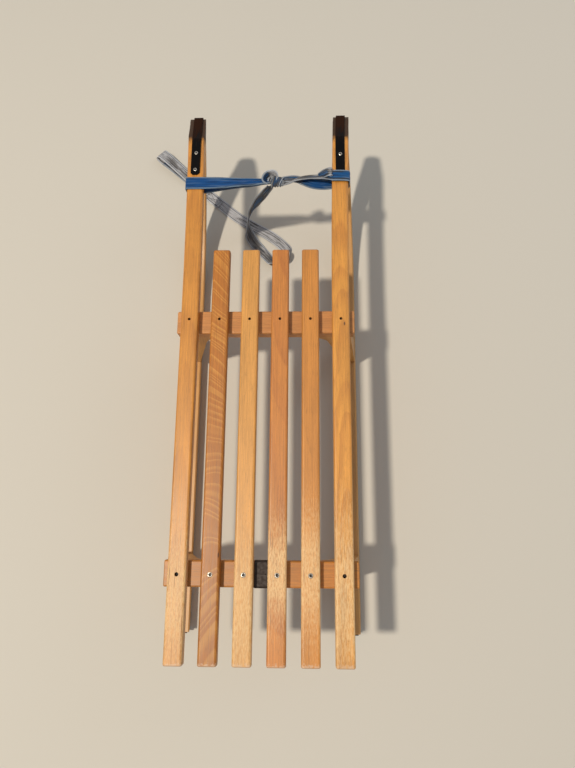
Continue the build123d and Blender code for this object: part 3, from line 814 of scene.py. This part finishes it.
# %% Varnished wood
def varnished_wood(
    name, place_of, base, line, pith, tilt, ring, wander, lines, seed, early=0.25, uneven=1.6, worn=None,
    spots=(), weathered_ends=True, dark_nose=False, coat=0.25,
):
    """A varnished wood of two hex colours. place_of(tree) gives the strip's own coordinates in metres.

    ring is a year's growth in metres and wander how far the pith strays. lines is how strongly the
    late wood shows, seed sets one board apart from the next, and coat is how much varnish is left."""
    material, tree = new_material(name)
    place = place_of(tree)
    point = add(tree, OBJECT, out="Object")

    late = growth_rings(tree, place, pith, tilt, ring, wander, seed, early, uneven)
    patchy = add(tree, VECTOR_MATH, [place, (40, 6, 40), (seed, seed, seed)], operation="MULTIPLY_ADD")
    patchy = add(tree, NOISE, {"Vector": patchy, "Scale": 1.0, "Detail": 1.0})
    strength = add(tree, MATH, [patchy, 1.4 * lines, -0.1 * lines], operation="MULTIPLY_ADD", use_clamp=True)
    late = add(tree, MATH, [late, strength], operation="MULTIPLY", use_clamp=True)
    tint = add(tree, MIX, {0: late, 6: colour(base), 7: colour(line)}, **COLOURS)
    shade, fibres = streaky_shade(tree, place, seed)
    tint = add(tree, VECTOR_MATH, {0: tint, "Scale": shade}, operation="SCALE")
    rough = add(tree, RANGE, [fibres, 0.3, 0.7, 0.38, 0.52])
    varnish = coat

    if worn:
        tint, rough, bare = worn_varnish(tree, place, tint, rough, *worn, seed)
        varnish = add(tree, MATH, [bare, -0.8 * coat, coat], operation="MULTIPLY_ADD")
    tint = stained(tree, point, tint, spots)
    if dark_nose:
        tint, rough, nose_darkness = darkened_nose_front(tree, point, tint, rough)
        beyond_dark_nose = add(tree, MATH, [1.0, nose_darkness], operation="SUBTRACT")
        varnish = add(tree, MATH, [beyond_dark_nose, varnish], operation="MULTIPLY")
    if weathered_ends:
        tint, rough = scuffed_ends(tree, point, tint, rough)

    height = add(tree, MATH, [late, -0.35, fibres], operation="MULTIPLY_ADD")
    bump = add(tree, "ShaderNodeBump", {"Height": height, "Strength": 0.3, "Distance": 0.3 * MM})
    shader = add(tree, "ShaderNodeBsdfPrincipled", {
        "Base Color": tint, "Roughness": rough, "Normal": bump, "Coat Weight": varnish, "Coat Roughness": 0.35,
    })
    show(tree, shader)
    print(name, len(tree.nodes), "nodes")
    return material


# %% [markdown]
# ## The six slats
#
# Each slat comes from another board, so each has its own colour and its own figure. The second
# from the left is the lively one, brown with pale curved lines. The fourth has a darker heart on
# one side. The fine ones are nearly plain. All but the second are worn pale where a rider sits,
# round the rear row of screws. On the fifth and sixth the pale patch reaches further and is also
# a painted highlight, the varnish's sheen towards the rear.

# %% Slats
SLAT_COUNT = 6
SLAT_PITCH = 53.6 * MM
SLAT_MIDDLE_Z = 229 * MM


def slat_middle(number):
    """How far left of the sled's middle a slat lies. Slat 1 is the one on the sled's left."""
    return ((SLAT_COUNT + 1) / 2 - number) * SLAT_PITCH


def along_slat(number):
    """Coordinates across, along and through one slat."""
    middle = (slat_middle(number), 0.0, SLAT_MIDDLE_Z)
    return lambda tree: add(tree, VECTOR_MATH, [add(tree, OBJECT, out="Object"), middle], operation="SUBTRACT")


PIN_KNOT = "3d200c"
GREY_STAIN = "6f6a62"
slat_woods = {
    "outer_slat_left": varnished_wood(
        "honey_beech_slat_1", along_slat(1), "cf8a34", "a96522", pith=(0.002, -0.03), tilt=(0.004, 0.05),
        ring=0.006, wander=0.004, lines=0.5, seed=1.3, worn=(0.4, 0.2, 0.85, 1.0), dark_nose=True),
    "slat_2": varnished_wood(
        "pink_beech_slat_2", along_slat(2), "ad691f", "d79a46", pith=(0.09, 0.35), tilt=(-0.3, -0.27),
        ring=0.0045, wander=0.012, lines=0.62, seed=5.1, early=0.4, uneven=3.4, coat=0.1,
        spots=[(0.0678, 0.334, 0.0012, 0.0045, PIN_KNOT, 0.9)]),
    "slat_3": varnished_wood(
        "pale_ash_slat_3", along_slat(3), "d8994a", "bd7e34", pith=(0.05, -0.03), tilt=(0.002, 0.01),
        ring=0.0045, wander=0.004, lines=0.35, seed=9.7, worn=(0.42, 0.2, 0.8, 0.45)),
    "slat_4": varnished_wood(
        "orange_beech_slat_4", along_slat(4), "c47c34", "a35d26", pith=(-0.02, 0.07), tilt=(0.0, 0.1),
        ring=0.012, wander=0.006, lines=0.6, seed=2.2, worn=(0.36, 0.13, 1.0, 1.0)),
    # This worn patch is real wear and also a painted highlight of the varnish at the rear
    "slat_5": varnished_wood(
        "tan_beech_slat_5", along_slat(5), "c98436", "b26c28", pith=(0.08, -0.02), tilt=(0.001, 0.01),
        ring=0.0035, wander=0.003, lines=0.5, seed=4.4, worn=(0.36, 0.17, 0.9, 0.45)),
    # This worn patch is real wear and also a painted highlight of the varnish at the rear
    "outer_slat_right": varnished_wood(
        "honey_beech_slat_6", along_slat(6), "d2903c", "ae6c2a", pith=(-0.004, -0.03), tilt=(-0.01, 0.06),
        ring=0.005, wander=0.006, lines=0.6, seed=7.9, worn=(0.39, 0.22, 0.9, 0.6), dark_nose=True,
        spots=[
            (-0.1399, -0.0568, 0.0014, 0.0035, PIN_KNOT, 0.9), (-0.131, 0.405, 0.006, 0.035, GREY_STAIN, 0.14),
        ]),
}
for name, material in slat_woods.items():
    dress([name], material)
print(len(slat_woods), "slat materials")

# %% [markdown]
# ## Crossbars, legs and runners
#
# The grain of a crossbar runs across the sled and that of a leg runs down it. A runner is one
# strip bent in steam, so its grain follows the bend. We unroll the bend for the pattern: the
# angle about the bend's centre, held between nothing and the full bend, gives the direction of
# the strip there, and the point's place along and across that direction are its coordinates.

# %% Frame wood
BEND_CENTRE = (-0.1871, 0.340)
BEND_RADIUS = 0.337
BEND_ANGLE = math.radians(56)
LEAN = math.tan(math.radians(7))
RUNNER_X = 0.166
RUNNER_HALF = 0.014
BAR_MIDDLE_Z = 0.207
FRONT_ROW_Y, REAR_ROW_Y = -66.3, 364.3


def across_sled(middle_y, middle_z):
    """Coordinates across, along and through a crossbar, whose grain runs along X."""
    def place_of(tree):
        point = add(tree, OBJECT, out="Object")
        centred = add(tree, VECTOR_MATH, [point, (0, middle_y, middle_z)], operation="SUBTRACT")
        x, y, z = [add(tree, SPLIT, [centred], out=axis) for axis in range(3)]
        return add(tree, JOIN, [y, x, z])
    return place_of


def beside_lean(tree, side):
    """Distance sideways from the leaning plane of one side's runner."""
    point = add(tree, OBJECT, out="Object")
    height = add(tree, SPLIT, [point], out=2)
    lean = add(tree, MATH, [height, LEAN * side, -RUNNER_X * side], operation="MULTIPLY_ADD")
    return add(tree, MATH, [add(tree, SPLIT, [point]), lean], operation="ADD")


def down_leg(side):
    """Coordinates across, along and through a leg, whose grain runs down its lean."""
    def place_of(tree):
        point = add(tree, OBJECT, out="Object")
        y, z = [add(tree, SPLIT, [point], out=axis) for axis in (1, 2)]
        return add(tree, JOIN, [beside_lean(tree, side), z, y])
    return place_of


def along_bend(side):
    """Coordinates across, along and through a bent runner, unrolled."""
    def place_of(tree):
        point = add(tree, OBJECT, out="Object")
        forward = add(tree, MATH, [BEND_CENTRE[0], add(tree, SPLIT, [point], out=1)], operation="SUBTRACT")
        down = add(tree, MATH, [BEND_CENTRE[1], add(tree, SPLIT, [point], out=2)], operation="SUBTRACT")
        angle = add(tree, MATH, [forward, down], operation="ARCTAN2")
        angle = add(tree, "ShaderNodeClamp", [angle, 0.0, BEND_ANGLE])
        sine = add(tree, MATH, [angle], operation="SINE")
        cosine = add(tree, MATH, [angle], operation="COSINE")
        forward_cosine = add(tree, MATH, [forward, cosine], operation="MULTIPLY")
        down_sine = add(tree, MATH, [down, sine], operation="MULTIPLY")
        ahead = add(tree, MATH, [forward_cosine, down_sine], operation="SUBTRACT")
        along = add(tree, MATH, [angle, BEND_RADIUS, ahead], operation="MULTIPLY_ADD")
        down_cosine = add(tree, MATH, [down, cosine], operation="MULTIPLY")
        outwards = add(tree, MATH, [forward, sine, down_cosine], operation="MULTIPLY_ADD")
        through = add(tree, MATH, [outwards, BEND_RADIUS - RUNNER_HALF], operation="SUBTRACT")
        return add(tree, JOIN, [beside_lean(tree, side), along, through])
    return place_of


# Name, middle in mm, colour and seed
CROSSBARS = [("crossbar_front", FRONT_ROW_Y, "c6894c", 11.0), ("crossbar_rear", REAR_ROW_Y, "ba792c", 12.0)]
for name, row_y, base, seed in CROSSBARS:
    dress([name], varnished_wood(
        "pink_beech_" + name, across_sled(row_y * MM, BAR_MIDDLE_Z), base, "a4683a", pith=(0.03, -0.05),
        tilt=(0.01, 0.02), ring=0.004, wander=0.005, lines=0.4, seed=seed, weathered_ends=False, coat=0.05))
for side_name, side in [("left", 1), ("right", -1)]:
    dress(["leg_front_" + side_name, "leg_rear_" + side_name], varnished_wood(
        "honey_beech_legs_" + side_name, down_leg(side), "cd954e", "ae7638", pith=(0.02, -0.06),
        tilt=(0.02, 0.03), ring=0.005, wander=0.006, lines=0.45, seed=13.0 + side, weathered_ends=False))
    dress(["runner_" + side_name], varnished_wood(
        "bent_ash_runner_" + side_name, along_bend(side), "cc954f", "ab763c", pith=(0.01, 0.06),
        tilt=(0.004, 0.01), ring=0.0045, wander=0.005, lines=0.5, seed=17.0 + side, dark_nose=True))

# %% [markdown]
# ## The steel shoes
#
# A flat steel bar runs under each runner and up over the nose. It was painted black once. The
# paint is still nearly black behind the nose, brown with rust where the bar comes over the
# front, rubbed bright at the very tip, and gone underneath, where snow keeps the steel polished.
# Black paint has little colour of its own, so the gloss has to do the work: it is rough where it
# rusts and smoother where it slides.

# %% Shoe steel
steel, tree = new_material("rusted_black_painted_steel")
point = add(tree, OBJECT, out="Object")
from_front = add(tree, SPLIT, [point], out=1)

# Rust streaks 2.5 mm wide and 20 mm long, thick in front and thin behind
streak_place = add(tree, VECTOR_MATH, [point, (400, 50, 150)], operation="MULTIPLY")
streaks = add(tree, NOISE, {"Vector": streak_place, "Scale": 1.0, "Detail": 4.0, "Roughness": 0.65})
near_front = add(tree, RANGE, [from_front, -0.41, -0.49, -0.2, 0.42])
rust = add(tree, MATH, [streaks, near_front], operation="ADD")
rust = add(tree, MATH, [rust, -0.3], operation="ADD", use_clamp=True)
rust = add(tree, RANGE, [rust, 0.1, 0.4])
grain = add(tree, NOISE, {"Vector": point, "Scale": 700.0, "Detail": 2.0})
rust_tint = add(tree, MIX, {0: grain, 6: colour("120905"), 7: colour("3a1f10")}, **COLOURS)
tint = add(tree, MIX, {0: rust, 6: colour("050404"), 7: rust_tint}, **COLOURS)

# Bright steel at the tip and underneath, in scratches 0.8 mm wide along the bar
scratches = add(tree, VECTOR_MATH, [point, (1200, 30, 1200)], operation="MULTIPLY")
scratches = add(tree, NOISE, {"Vector": scratches, "Scale": 1.0, "Detail": 2.0})
tip = add(tree, RANGE, [from_front, -0.4955, -0.5, 0.0, 0.5])
downwards = add(tree, SPLIT, [add(tree, "ShaderNodeNewGeometry", out="Normal")], out=2)
low = add(tree, RANGE, [add(tree, SPLIT, [point], out=2), 0.05, 0.004, 0.0, 0.65])
under = add(tree, MATH, [add(tree, RANGE, [downwards, -0.5, -0.9]), low], operation="MULTIPLY")
bright = add(tree, MATH, [add(tree, MATH, [tip, under], operation="MAXIMUM"), scratches], operation="ADD")
bright = add(tree, RANGE, [bright, 0.76, 0.96])
tint = add(tree, MIX, {0: bright, 6: tint, 7: colour("b5afa6")}, **COLOURS)
rough = add(tree, RANGE, [rust, 0.0, 1.0, 0.5, 0.85])
rough = add(tree, MIX, {0: bright, 2: rough, 3: 0.3}, out=0)
bump = add(tree, "ShaderNodeBump", {"Height": streaks, "Strength": 0.35, "Distance": 0.2 * MM})
shader = add(tree, "ShaderNodeBsdfPrincipled", {
    "Base Color": tint, "Metallic": bright, "Roughness": rough, "Normal": bump, "Specular IOR Level": 0.08,
})
show(tree, shader)
dress(["shoe_left", "shoe_right"], steel)
print("the shoes' steel has", len(tree.nodes), "nodes")

# %% [markdown]
# ## The screws
#
# Every slat is screwed to both crossbars, and the shoes are screwed to the tops of the noses.
# A head is a turned shape, so we turn a profile about its axis and press a cross into its middle.
# The heads repeat, so a small Geometry Nodes tree puts one on each of a few loose points, turned
# as a hand left it. The tree ends in real geometry with a material, and we keep only that mesh.

# %% Turned head
CROSS_DEPTH = 0.35


def turned_head(name, profile, cross, sides=24):
    """A screw head from a profile of (radius, height) in mm, foot first, with a cross pressed in.

    cross is how far the cross reaches from the middle, in mm."""
    mesh = bmesh.new()
    inner = mesh.verts.layers.float.new("recess")
    rings = []
    for radius, height in profile:
        in_recess = radius <= cross
        reach = radius * MM
        ring = []
        for k in range(sides):
            angle = 2 * math.pi * k / sides
            dip = CROSS_DEPTH if in_recess and k % (sides // 4) == 0 else 0.0
            vert = mesh.verts.new((reach * math.cos(angle), reach * math.sin(angle), (height - dip) * MM))
            vert[inner] = 1.0 if in_recess else 0.0
            ring.append(vert)
        rings.append(ring)
    for lower, upper in zip(rings, rings[1:]):
        for k in range(sides):
            j = (k + 1) % sides
            mesh.faces.new((lower[k], lower[j], upper[j], upper[k]))
    mesh.faces.new(list(reversed(rings[0])))
    mesh.faces.new(rings[-1])
    return from_bmesh(name, mesh)


countersunk = turned_head("countersunk head", [
    (4.0, 0.0), (4.0, 0.8), (3.6, 1.15), (2.7, 1.2), (2.2, 0.75), (1.1, 0.55), (0.5, 0.5),
], cross=2.2)
raised = turned_head("raised head", [
    (3.4, -0.1), (3.3, 0.35), (2.6, 0.7), (1.8, 0.75), (1.4, 0.45), (0.8, 0.4), (0.4, 0.4),
], cross=1.4)
print("a head has", len(countersunk.data.polygons), "faces")

# %% [markdown]
# ### Heads on points
#
# The tree takes loose points and puts a copy of a head on each, turned by the angle that the point
# carries. Its sizes and material are named inputs, so that one tree serves every row of screws.

# %% Heads on points
def named_inputs(tree, kinds):
    """Gives a Geometry Nodes tree a mesh in, a mesh out and named inputs, and returns those inputs."""
    tree.interface.new_socket("Geometry", in_out="INPUT", socket_type="NodeSocketGeometry")
    tree.interface.new_socket("Geometry", in_out="OUTPUT", socket_type="NodeSocketGeometry")
    for label, kind in kinds.items():
        tree.interface.new_socket(label, in_out="INPUT", socket_type=kind)
    return add(tree, "NodeGroupInput").node.outputs


heads_tree = bpy.data.node_groups.new("heads on points", "GeometryNodeTree")
inputs = named_inputs(heads_tree, {
    "Head": "NodeSocketObject", "Size": "NodeSocketFloat", "Finish": "NodeSocketMaterial",
})
head_shape = add(heads_tree, "GeometryNodeObjectInfo", {"Object": inputs["Head"]}, out="Geometry")
turn = add(heads_tree, "GeometryNodeInputNamedAttribute", {"Name": "turn"}, data_type="FLOAT")
heading = add(heads_tree, "FunctionNodeEulerToRotation", [add(heads_tree, JOIN, [0.0, 0.0, turn])])
placed = add(heads_tree, "GeometryNodeInstanceOnPoints", {
    "Points": inputs["Geometry"], "Instance": head_shape, "Rotation": heading, "Scale": inputs["Size"],
})
real = add(heads_tree, "GeometryNodeRealizeInstances", [placed])
finished = add(heads_tree, "GeometryNodeSetMaterial", {"Geometry": real, "Material": inputs["Finish"]})
add(heads_tree, "NodeGroupOutput", {"Geometry": finished})
print(heads_tree.name, "has", len(heads_tree.nodes), "nodes")

# %% [markdown]
# A modifier's inputs go by identifiers, so one helper looks them up by name, lets the tree make
# its mesh, takes the modifier off again, and leaves a plain piece that rides on the sled.

# %% Grow a piece
def keep_modified(piece):
    """Turns what a piece's modifiers make of it into its own plain mesh."""
    graph = bpy.context.evaluated_depsgraph_get()
    piece.data = bpy.data.meshes.new_from_object(piece.evaluated_get(graph))
    piece.modifiers.clear()
    piece.data.name = piece.name


def grown(name, points, edges, tree, values, turns=None):
    """The plain mesh that a tree makes from points in mm, riding on the sled's body."""
    seed_mesh = bpy.data.meshes.new(name + " seed")
    seed_mesh.from_pydata([Vector(p) * MM for p in points], edges, [])
    if turns:
        attribute = seed_mesh.attributes.new("turn", "FLOAT", "POINT")
        attribute.data.foreach_set("value", [math.radians(t) for t in turns])
    piece = in_scene(name, seed_mesh)
    modifier = piece.modifiers.new("grow", "NODES")
    modifier.node_group = tree
    for item in tree.interface.items_tree:
        if item.in_out == "INPUT" and item.name in values:
            modifier[item.identifier] = values[item.name]
    keep_modified(piece)
    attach(piece, "root")
    print(name, len(piece.data.polygons), "faces")
    return piece


# %% [markdown]
# ### What the screws are made of
#
# The heads in the inner slats' rear ends and on the shoes are zinc plated, and still bright round
# a recess full of dirt. The others sit deep and have gone dark. Zinc is a metal, so its colour is
# in its reflection. It is mottled where damp has dulled it, in spots about 1 mm wide.

# %% Screw metals
def screw_metal(name, clean, dull, darkening, rough):
    """A mottled metal whose recess, marked on the head, is filled with dirt."""
    material, tree = new_material(name)
    point = add(tree, OBJECT, out="Object")
    mottle = add(tree, NOISE, {"Vector": point, "Scale": 900.0, "Detail": 2.0})
    mottled = add(tree, RANGE, [mottle, 0.4, 0.65])
    tint = add(tree, MIX, {0: mottled, 6: colour(clean), 7: colour(dull)}, **COLOURS)
    recess = add(tree, "ShaderNodeAttribute", out="Fac", attribute_name="recess")
    tint = add(tree, MIX, {0: recess, 6: tint, 7: colour(darkening)}, **COLOURS)
    metallic = add(tree, MATH, [1.0, recess], operation="SUBTRACT")
    roughness = add(tree, RANGE, [mottle, 0.3, 0.7, rough, rough + 0.25])
    bump = add(tree, "ShaderNodeBump", {"Height": mottle, "Strength": 0.2, "Distance": 0.1 * MM})
    shader = add(tree, "ShaderNodeBsdfPrincipled", {
        "Base Color": tint, "Metallic": metallic, "Roughness": roughness, "Normal": bump,
    })
    show(tree, shader)
    return material


zinc = screw_metal("zinc_plated_steel", "b8b2a8", "75695d", "1d140d", 0.3)
dark_steel = screw_metal("oxidised_dark_steel", "3a302a", "1c1511", "0a0706", 0.5)
print("screws in", zinc.name, "and", dark_steel.name)

# %% [markdown]
# Here are the places, in millimetres. The rows follow the crossbars, 430.6 mm apart, and the
# slats, 53.6 mm apart.

# %% Screw rows
SHALLOW, DEEP, SHOE_TOP = 236, 232, 241
slat_middles = [slat_middle(number) / MM for number in range(1, SLAT_COUNT + 1)]
inner, outer = slat_middles[1:-1], [slat_middles[0], slat_middles[-1]]
on_shoes = [(135.8, -398.4, SHOE_TOP), (136.4, -362.8, SHOE_TOP), (-137, -392, SHOE_TOP)]

# Name, head, size, finish, places in mm, turns in degrees
SCREW_ROWS = [
    ("screws_rear_inner", countersunk, 1.0, zinc, [(x, REAR_ROW_Y, SHALLOW) for x in inner], [10, 52, 31, 75]),
    ("screws_front", countersunk, 0.6, dark_steel, [(x, FRONT_ROW_Y, DEEP) for x in slat_middles],
     [5, 40, 71, 22, 63, 15]),
    ("screws_rear_outer", countersunk, 0.78, dark_steel, [(x, REAR_ROW_Y, DEEP) for x in outer], [33, 68]),
    ("screws_shoes", raised, 1.0, zinc, on_shoes, [20, 65, 48]),
]
for name, head, size, finish, places, head_turns in SCREW_ROWS:
    grown(name, places, [], heads_tree, {"Head": head, "Size": size, "Finish": finish}, turns=head_turns)

# %% [markdown]
# ## The bare plate
#
# A thin dark plate is wrapped over the rear crossbar between the two middle slats, held by two
# pins. It was blanked from sheet and bent, so its section is the bar's outline with rounded
# corners, and its edges are slightly soft. It carries nothing.

# %% Plate on the rear crossbar
BAR_TOP, BAR_HALF, BAR_ROUND = 220.05, 21.05, 3.0
PLATE_HALF, PLATE_THICKNESS, PLATE_SIDE = 11.0, 0.8, 7.0
CORNER_STEPS = 6


def bent_section(offset):
    """The plate's outline across the bar, as (y, z) in mm, at a distance from the bar."""
    reach = BAR_ROUND + offset
    half = [(BAR_HALF + offset, BAR_TOP - PLATE_SIDE)]
    for step in range(CORNER_STEPS + 1):
        angle = math.radians(90 * step / CORNER_STEPS)
        y, z = BAR_HALF - BAR_ROUND, BAR_TOP - BAR_ROUND
        half.append((y + reach * math.cos(angle), z + reach * math.sin(angle)))
    return half + [(-y, z) for y, z in reversed(half)]


mesh = bmesh.new()
sides = []
for x in (-PLATE_HALF, PLATE_HALF):
    loop = bent_section(PLATE_THICKNESS) + list(reversed(bent_section(0.0)))
    sides.append([mesh.verts.new((x * MM, (REAR_ROW_Y + y) * MM, z * MM)) for y, z in loop])
count = len(sides[0])
half_count = count // 2
for k in range(count):
    j = (k + 1) % count
    mesh.faces.new((sides[0][k], sides[0][j], sides[1][j], sides[1][k]))
for side in sides:
    for k in range(half_count - 1):
        mesh.faces.new((side[k], side[k + 1], side[count - 2 - k], side[count - 1 - k]))
plate = from_bmesh("blank_plate", mesh)
soft_edges = plate.modifiers.new("soft edges", "BEVEL")
soft_edges.width = 0.25 * MM
soft_edges.segments = 2
soft_edges.angle_limit = SHARP_ANGLE
keep_modified(plate)
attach(plate, "root")
print("plate", len(plate.data.polygons), "faces")

# %% [markdown]
# The plate is aluminium, anodised dark brown and then scuffed. Anodising keeps the metal's
# reflection but tints it. Scratches 0.5 mm wide are drawn about five times too wide, so that they
# show, and dull smears about 5 mm wide break up its gloss.

# %% Plate finish
anodised, tree = new_material("dark_anodised_aluminium")
point = add(tree, OBJECT, out="Object")
smears = add(tree, NOISE, {"Vector": point, "Scale": 200.0, "Detail": 3.0})
scratches = add(tree, VECTOR_MATH, [point, (160, 2000, 300)], operation="MULTIPLY")
scratches = add(tree, NOISE, {"Vector": scratches, "Scale": 1.0, "Detail": 2.0})
scratched = add(tree, RANGE, [scratches, 0.62, 0.72, 0.0, 0.55])
tint = add(tree, MIX, {0: smears, 6: colour("1a120e"), 7: colour("2e221b")}, **COLOURS)
tint = add(tree, MIX, {0: scratched, 6: tint, 7: colour("74675d")}, **COLOURS)
rough = add(tree, RANGE, [smears, 0.35, 0.65, 0.4, 0.65])
shader = add(tree, "ShaderNodeBsdfPrincipled", {"Base Color": tint, "Metallic": 0.5, "Roughness": rough})
show(tree, shader)
plate.data.materials.append(anodised)
PIN_OUT, PIN_Z = 7.5, 220.8
grown("plate_pins", [(-PIN_OUT, REAR_ROW_Y, PIN_Z), (PIN_OUT, REAR_ROW_Y, PIN_Z)], [], heads_tree,
      {"Head": raised, "Size": 0.4, "Finish": dark_steel}, turns=[0, 0])
for head in (countersunk, raised):
    bpy.data.objects.remove(head)

# %% [markdown]
# ## The stitching
#
# The flap is sewn down with a box and a cross in dark thread. A stitch follows a path, so the
# seam is drawn as a few edges, and a tree walks along them at the stitch's pitch and leaves a
# small bead that points along the seam. The thread is 0.5 mm thick, but a stitch also pulls
# the webbing down around it, so the dark bead is drawn 1.2 mm thick, as wide as that dent, and
# also paints the dent's shade.

# %% Stitches along edges
stitch_tree = bpy.data.node_groups.new("stitches along edges", "GeometryNodeTree")
inputs = named_inputs(stitch_tree, {
    "Pitch": "NodeSocketFloat", "Length": "NodeSocketFloat", "Thickness": "NodeSocketFloat",
    "Finish": "NodeSocketMaterial",
})
seam = add(stitch_tree, "GeometryNodeMeshToCurve", {"Mesh": inputs["Geometry"]})
seam = add(stitch_tree, "GeometryNodeResampleCurve", {"Curve": seam, "Length": inputs["Pitch"]}, mode="LENGTH")
bead = add(stitch_tree, "GeometryNodeMeshUVSphere", {"Segments": 8, "Rings": 5, "Radius": 0.5})
bead_size = add(stitch_tree, JOIN, [inputs["Length"], inputs["Thickness"], inputs["Thickness"]])
forward = add(stitch_tree, "FunctionNodeAlignRotationToVector", {
    "Vector": add(stitch_tree, "GeometryNodeInputTangent"),
}, axis="X", pivot_axis="Z")
beads = add(stitch_tree, "GeometryNodeInstanceOnPoints", {
    "Points": seam, "Instance": bead, "Rotation": forward, "Scale": bead_size,
})
beads = add(stitch_tree, "GeometryNodeRealizeInstances", [beads])
sewn = add(stitch_tree, "GeometryNodeSetMaterial", {"Geometry": beads, "Material": inputs["Finish"]})
add(stitch_tree, "NodeGroupOutput", {"Geometry": sewn})
print(stitch_tree.name, "has", len(stitch_tree.nodes), "nodes")

# %% [markdown]
# ### The thread
#
# The thread is dark cotton, twisted and waxed, so it is nearly black, a little glossier than the
# webbing and finely grooved, about 0.7 mm from one groove to the next.

# %% Thread
thread, tree = new_material("waxed_dark_cotton_thread")
point = add(tree, OBJECT, out="Object")
twist = add(tree, NOISE, {"Vector": point, "Scale": 1500.0, "Detail": 2.0})
tint = add(tree, MIX, {0: twist, 6: colour("16191e"), 7: colour("3c4046")}, **COLOURS)
bump = add(tree, "ShaderNodeBump", {"Height": twist, "Strength": 0.4, "Distance": 0.1 * MM})
shader = add(tree, "ShaderNodeBsdfPrincipled", {"Base Color": tint, "Roughness": 0.75, "Normal": bump})
show(tree, shader)
print(thread.name, len(tree.nodes), "nodes")

# %% [markdown]
# ### The box and its cross
#
# A sewing machine goes round a rectangle and then across it twice, which holds the flap at every
# corner. The seam is laid out on the flap's top, along and across the strap.

# %% Box and cross
SEAM_START = Vector((129.5, -433, 4.3))
SEAM_ALONG, SEAM_ACROSS = Vector((0.749, -0.663, 0)), Vector((0.663, 0.749, 0))
SEAM_LENGTH, SEAM_HALF = 34, 8.5
box = [SEAM_START + SEAM_ALONG * a + SEAM_ACROSS * b for a, b in [
    (0, -SEAM_HALF), (SEAM_LENGTH, -SEAM_HALF), (SEAM_LENGTH, SEAM_HALF), (0, SEAM_HALF),
]]
stitches = grown(
    "strap_box_and_cross_stitches", box + box, [(0, 1), (1, 2), (2, 3), (3, 0), (4, 6), (5, 7)], stitch_tree,
    {"Pitch": 4.0 * MM, "Length": 3.2 * MM, "Thickness": 1.2 * MM, "Finish": thread},
)
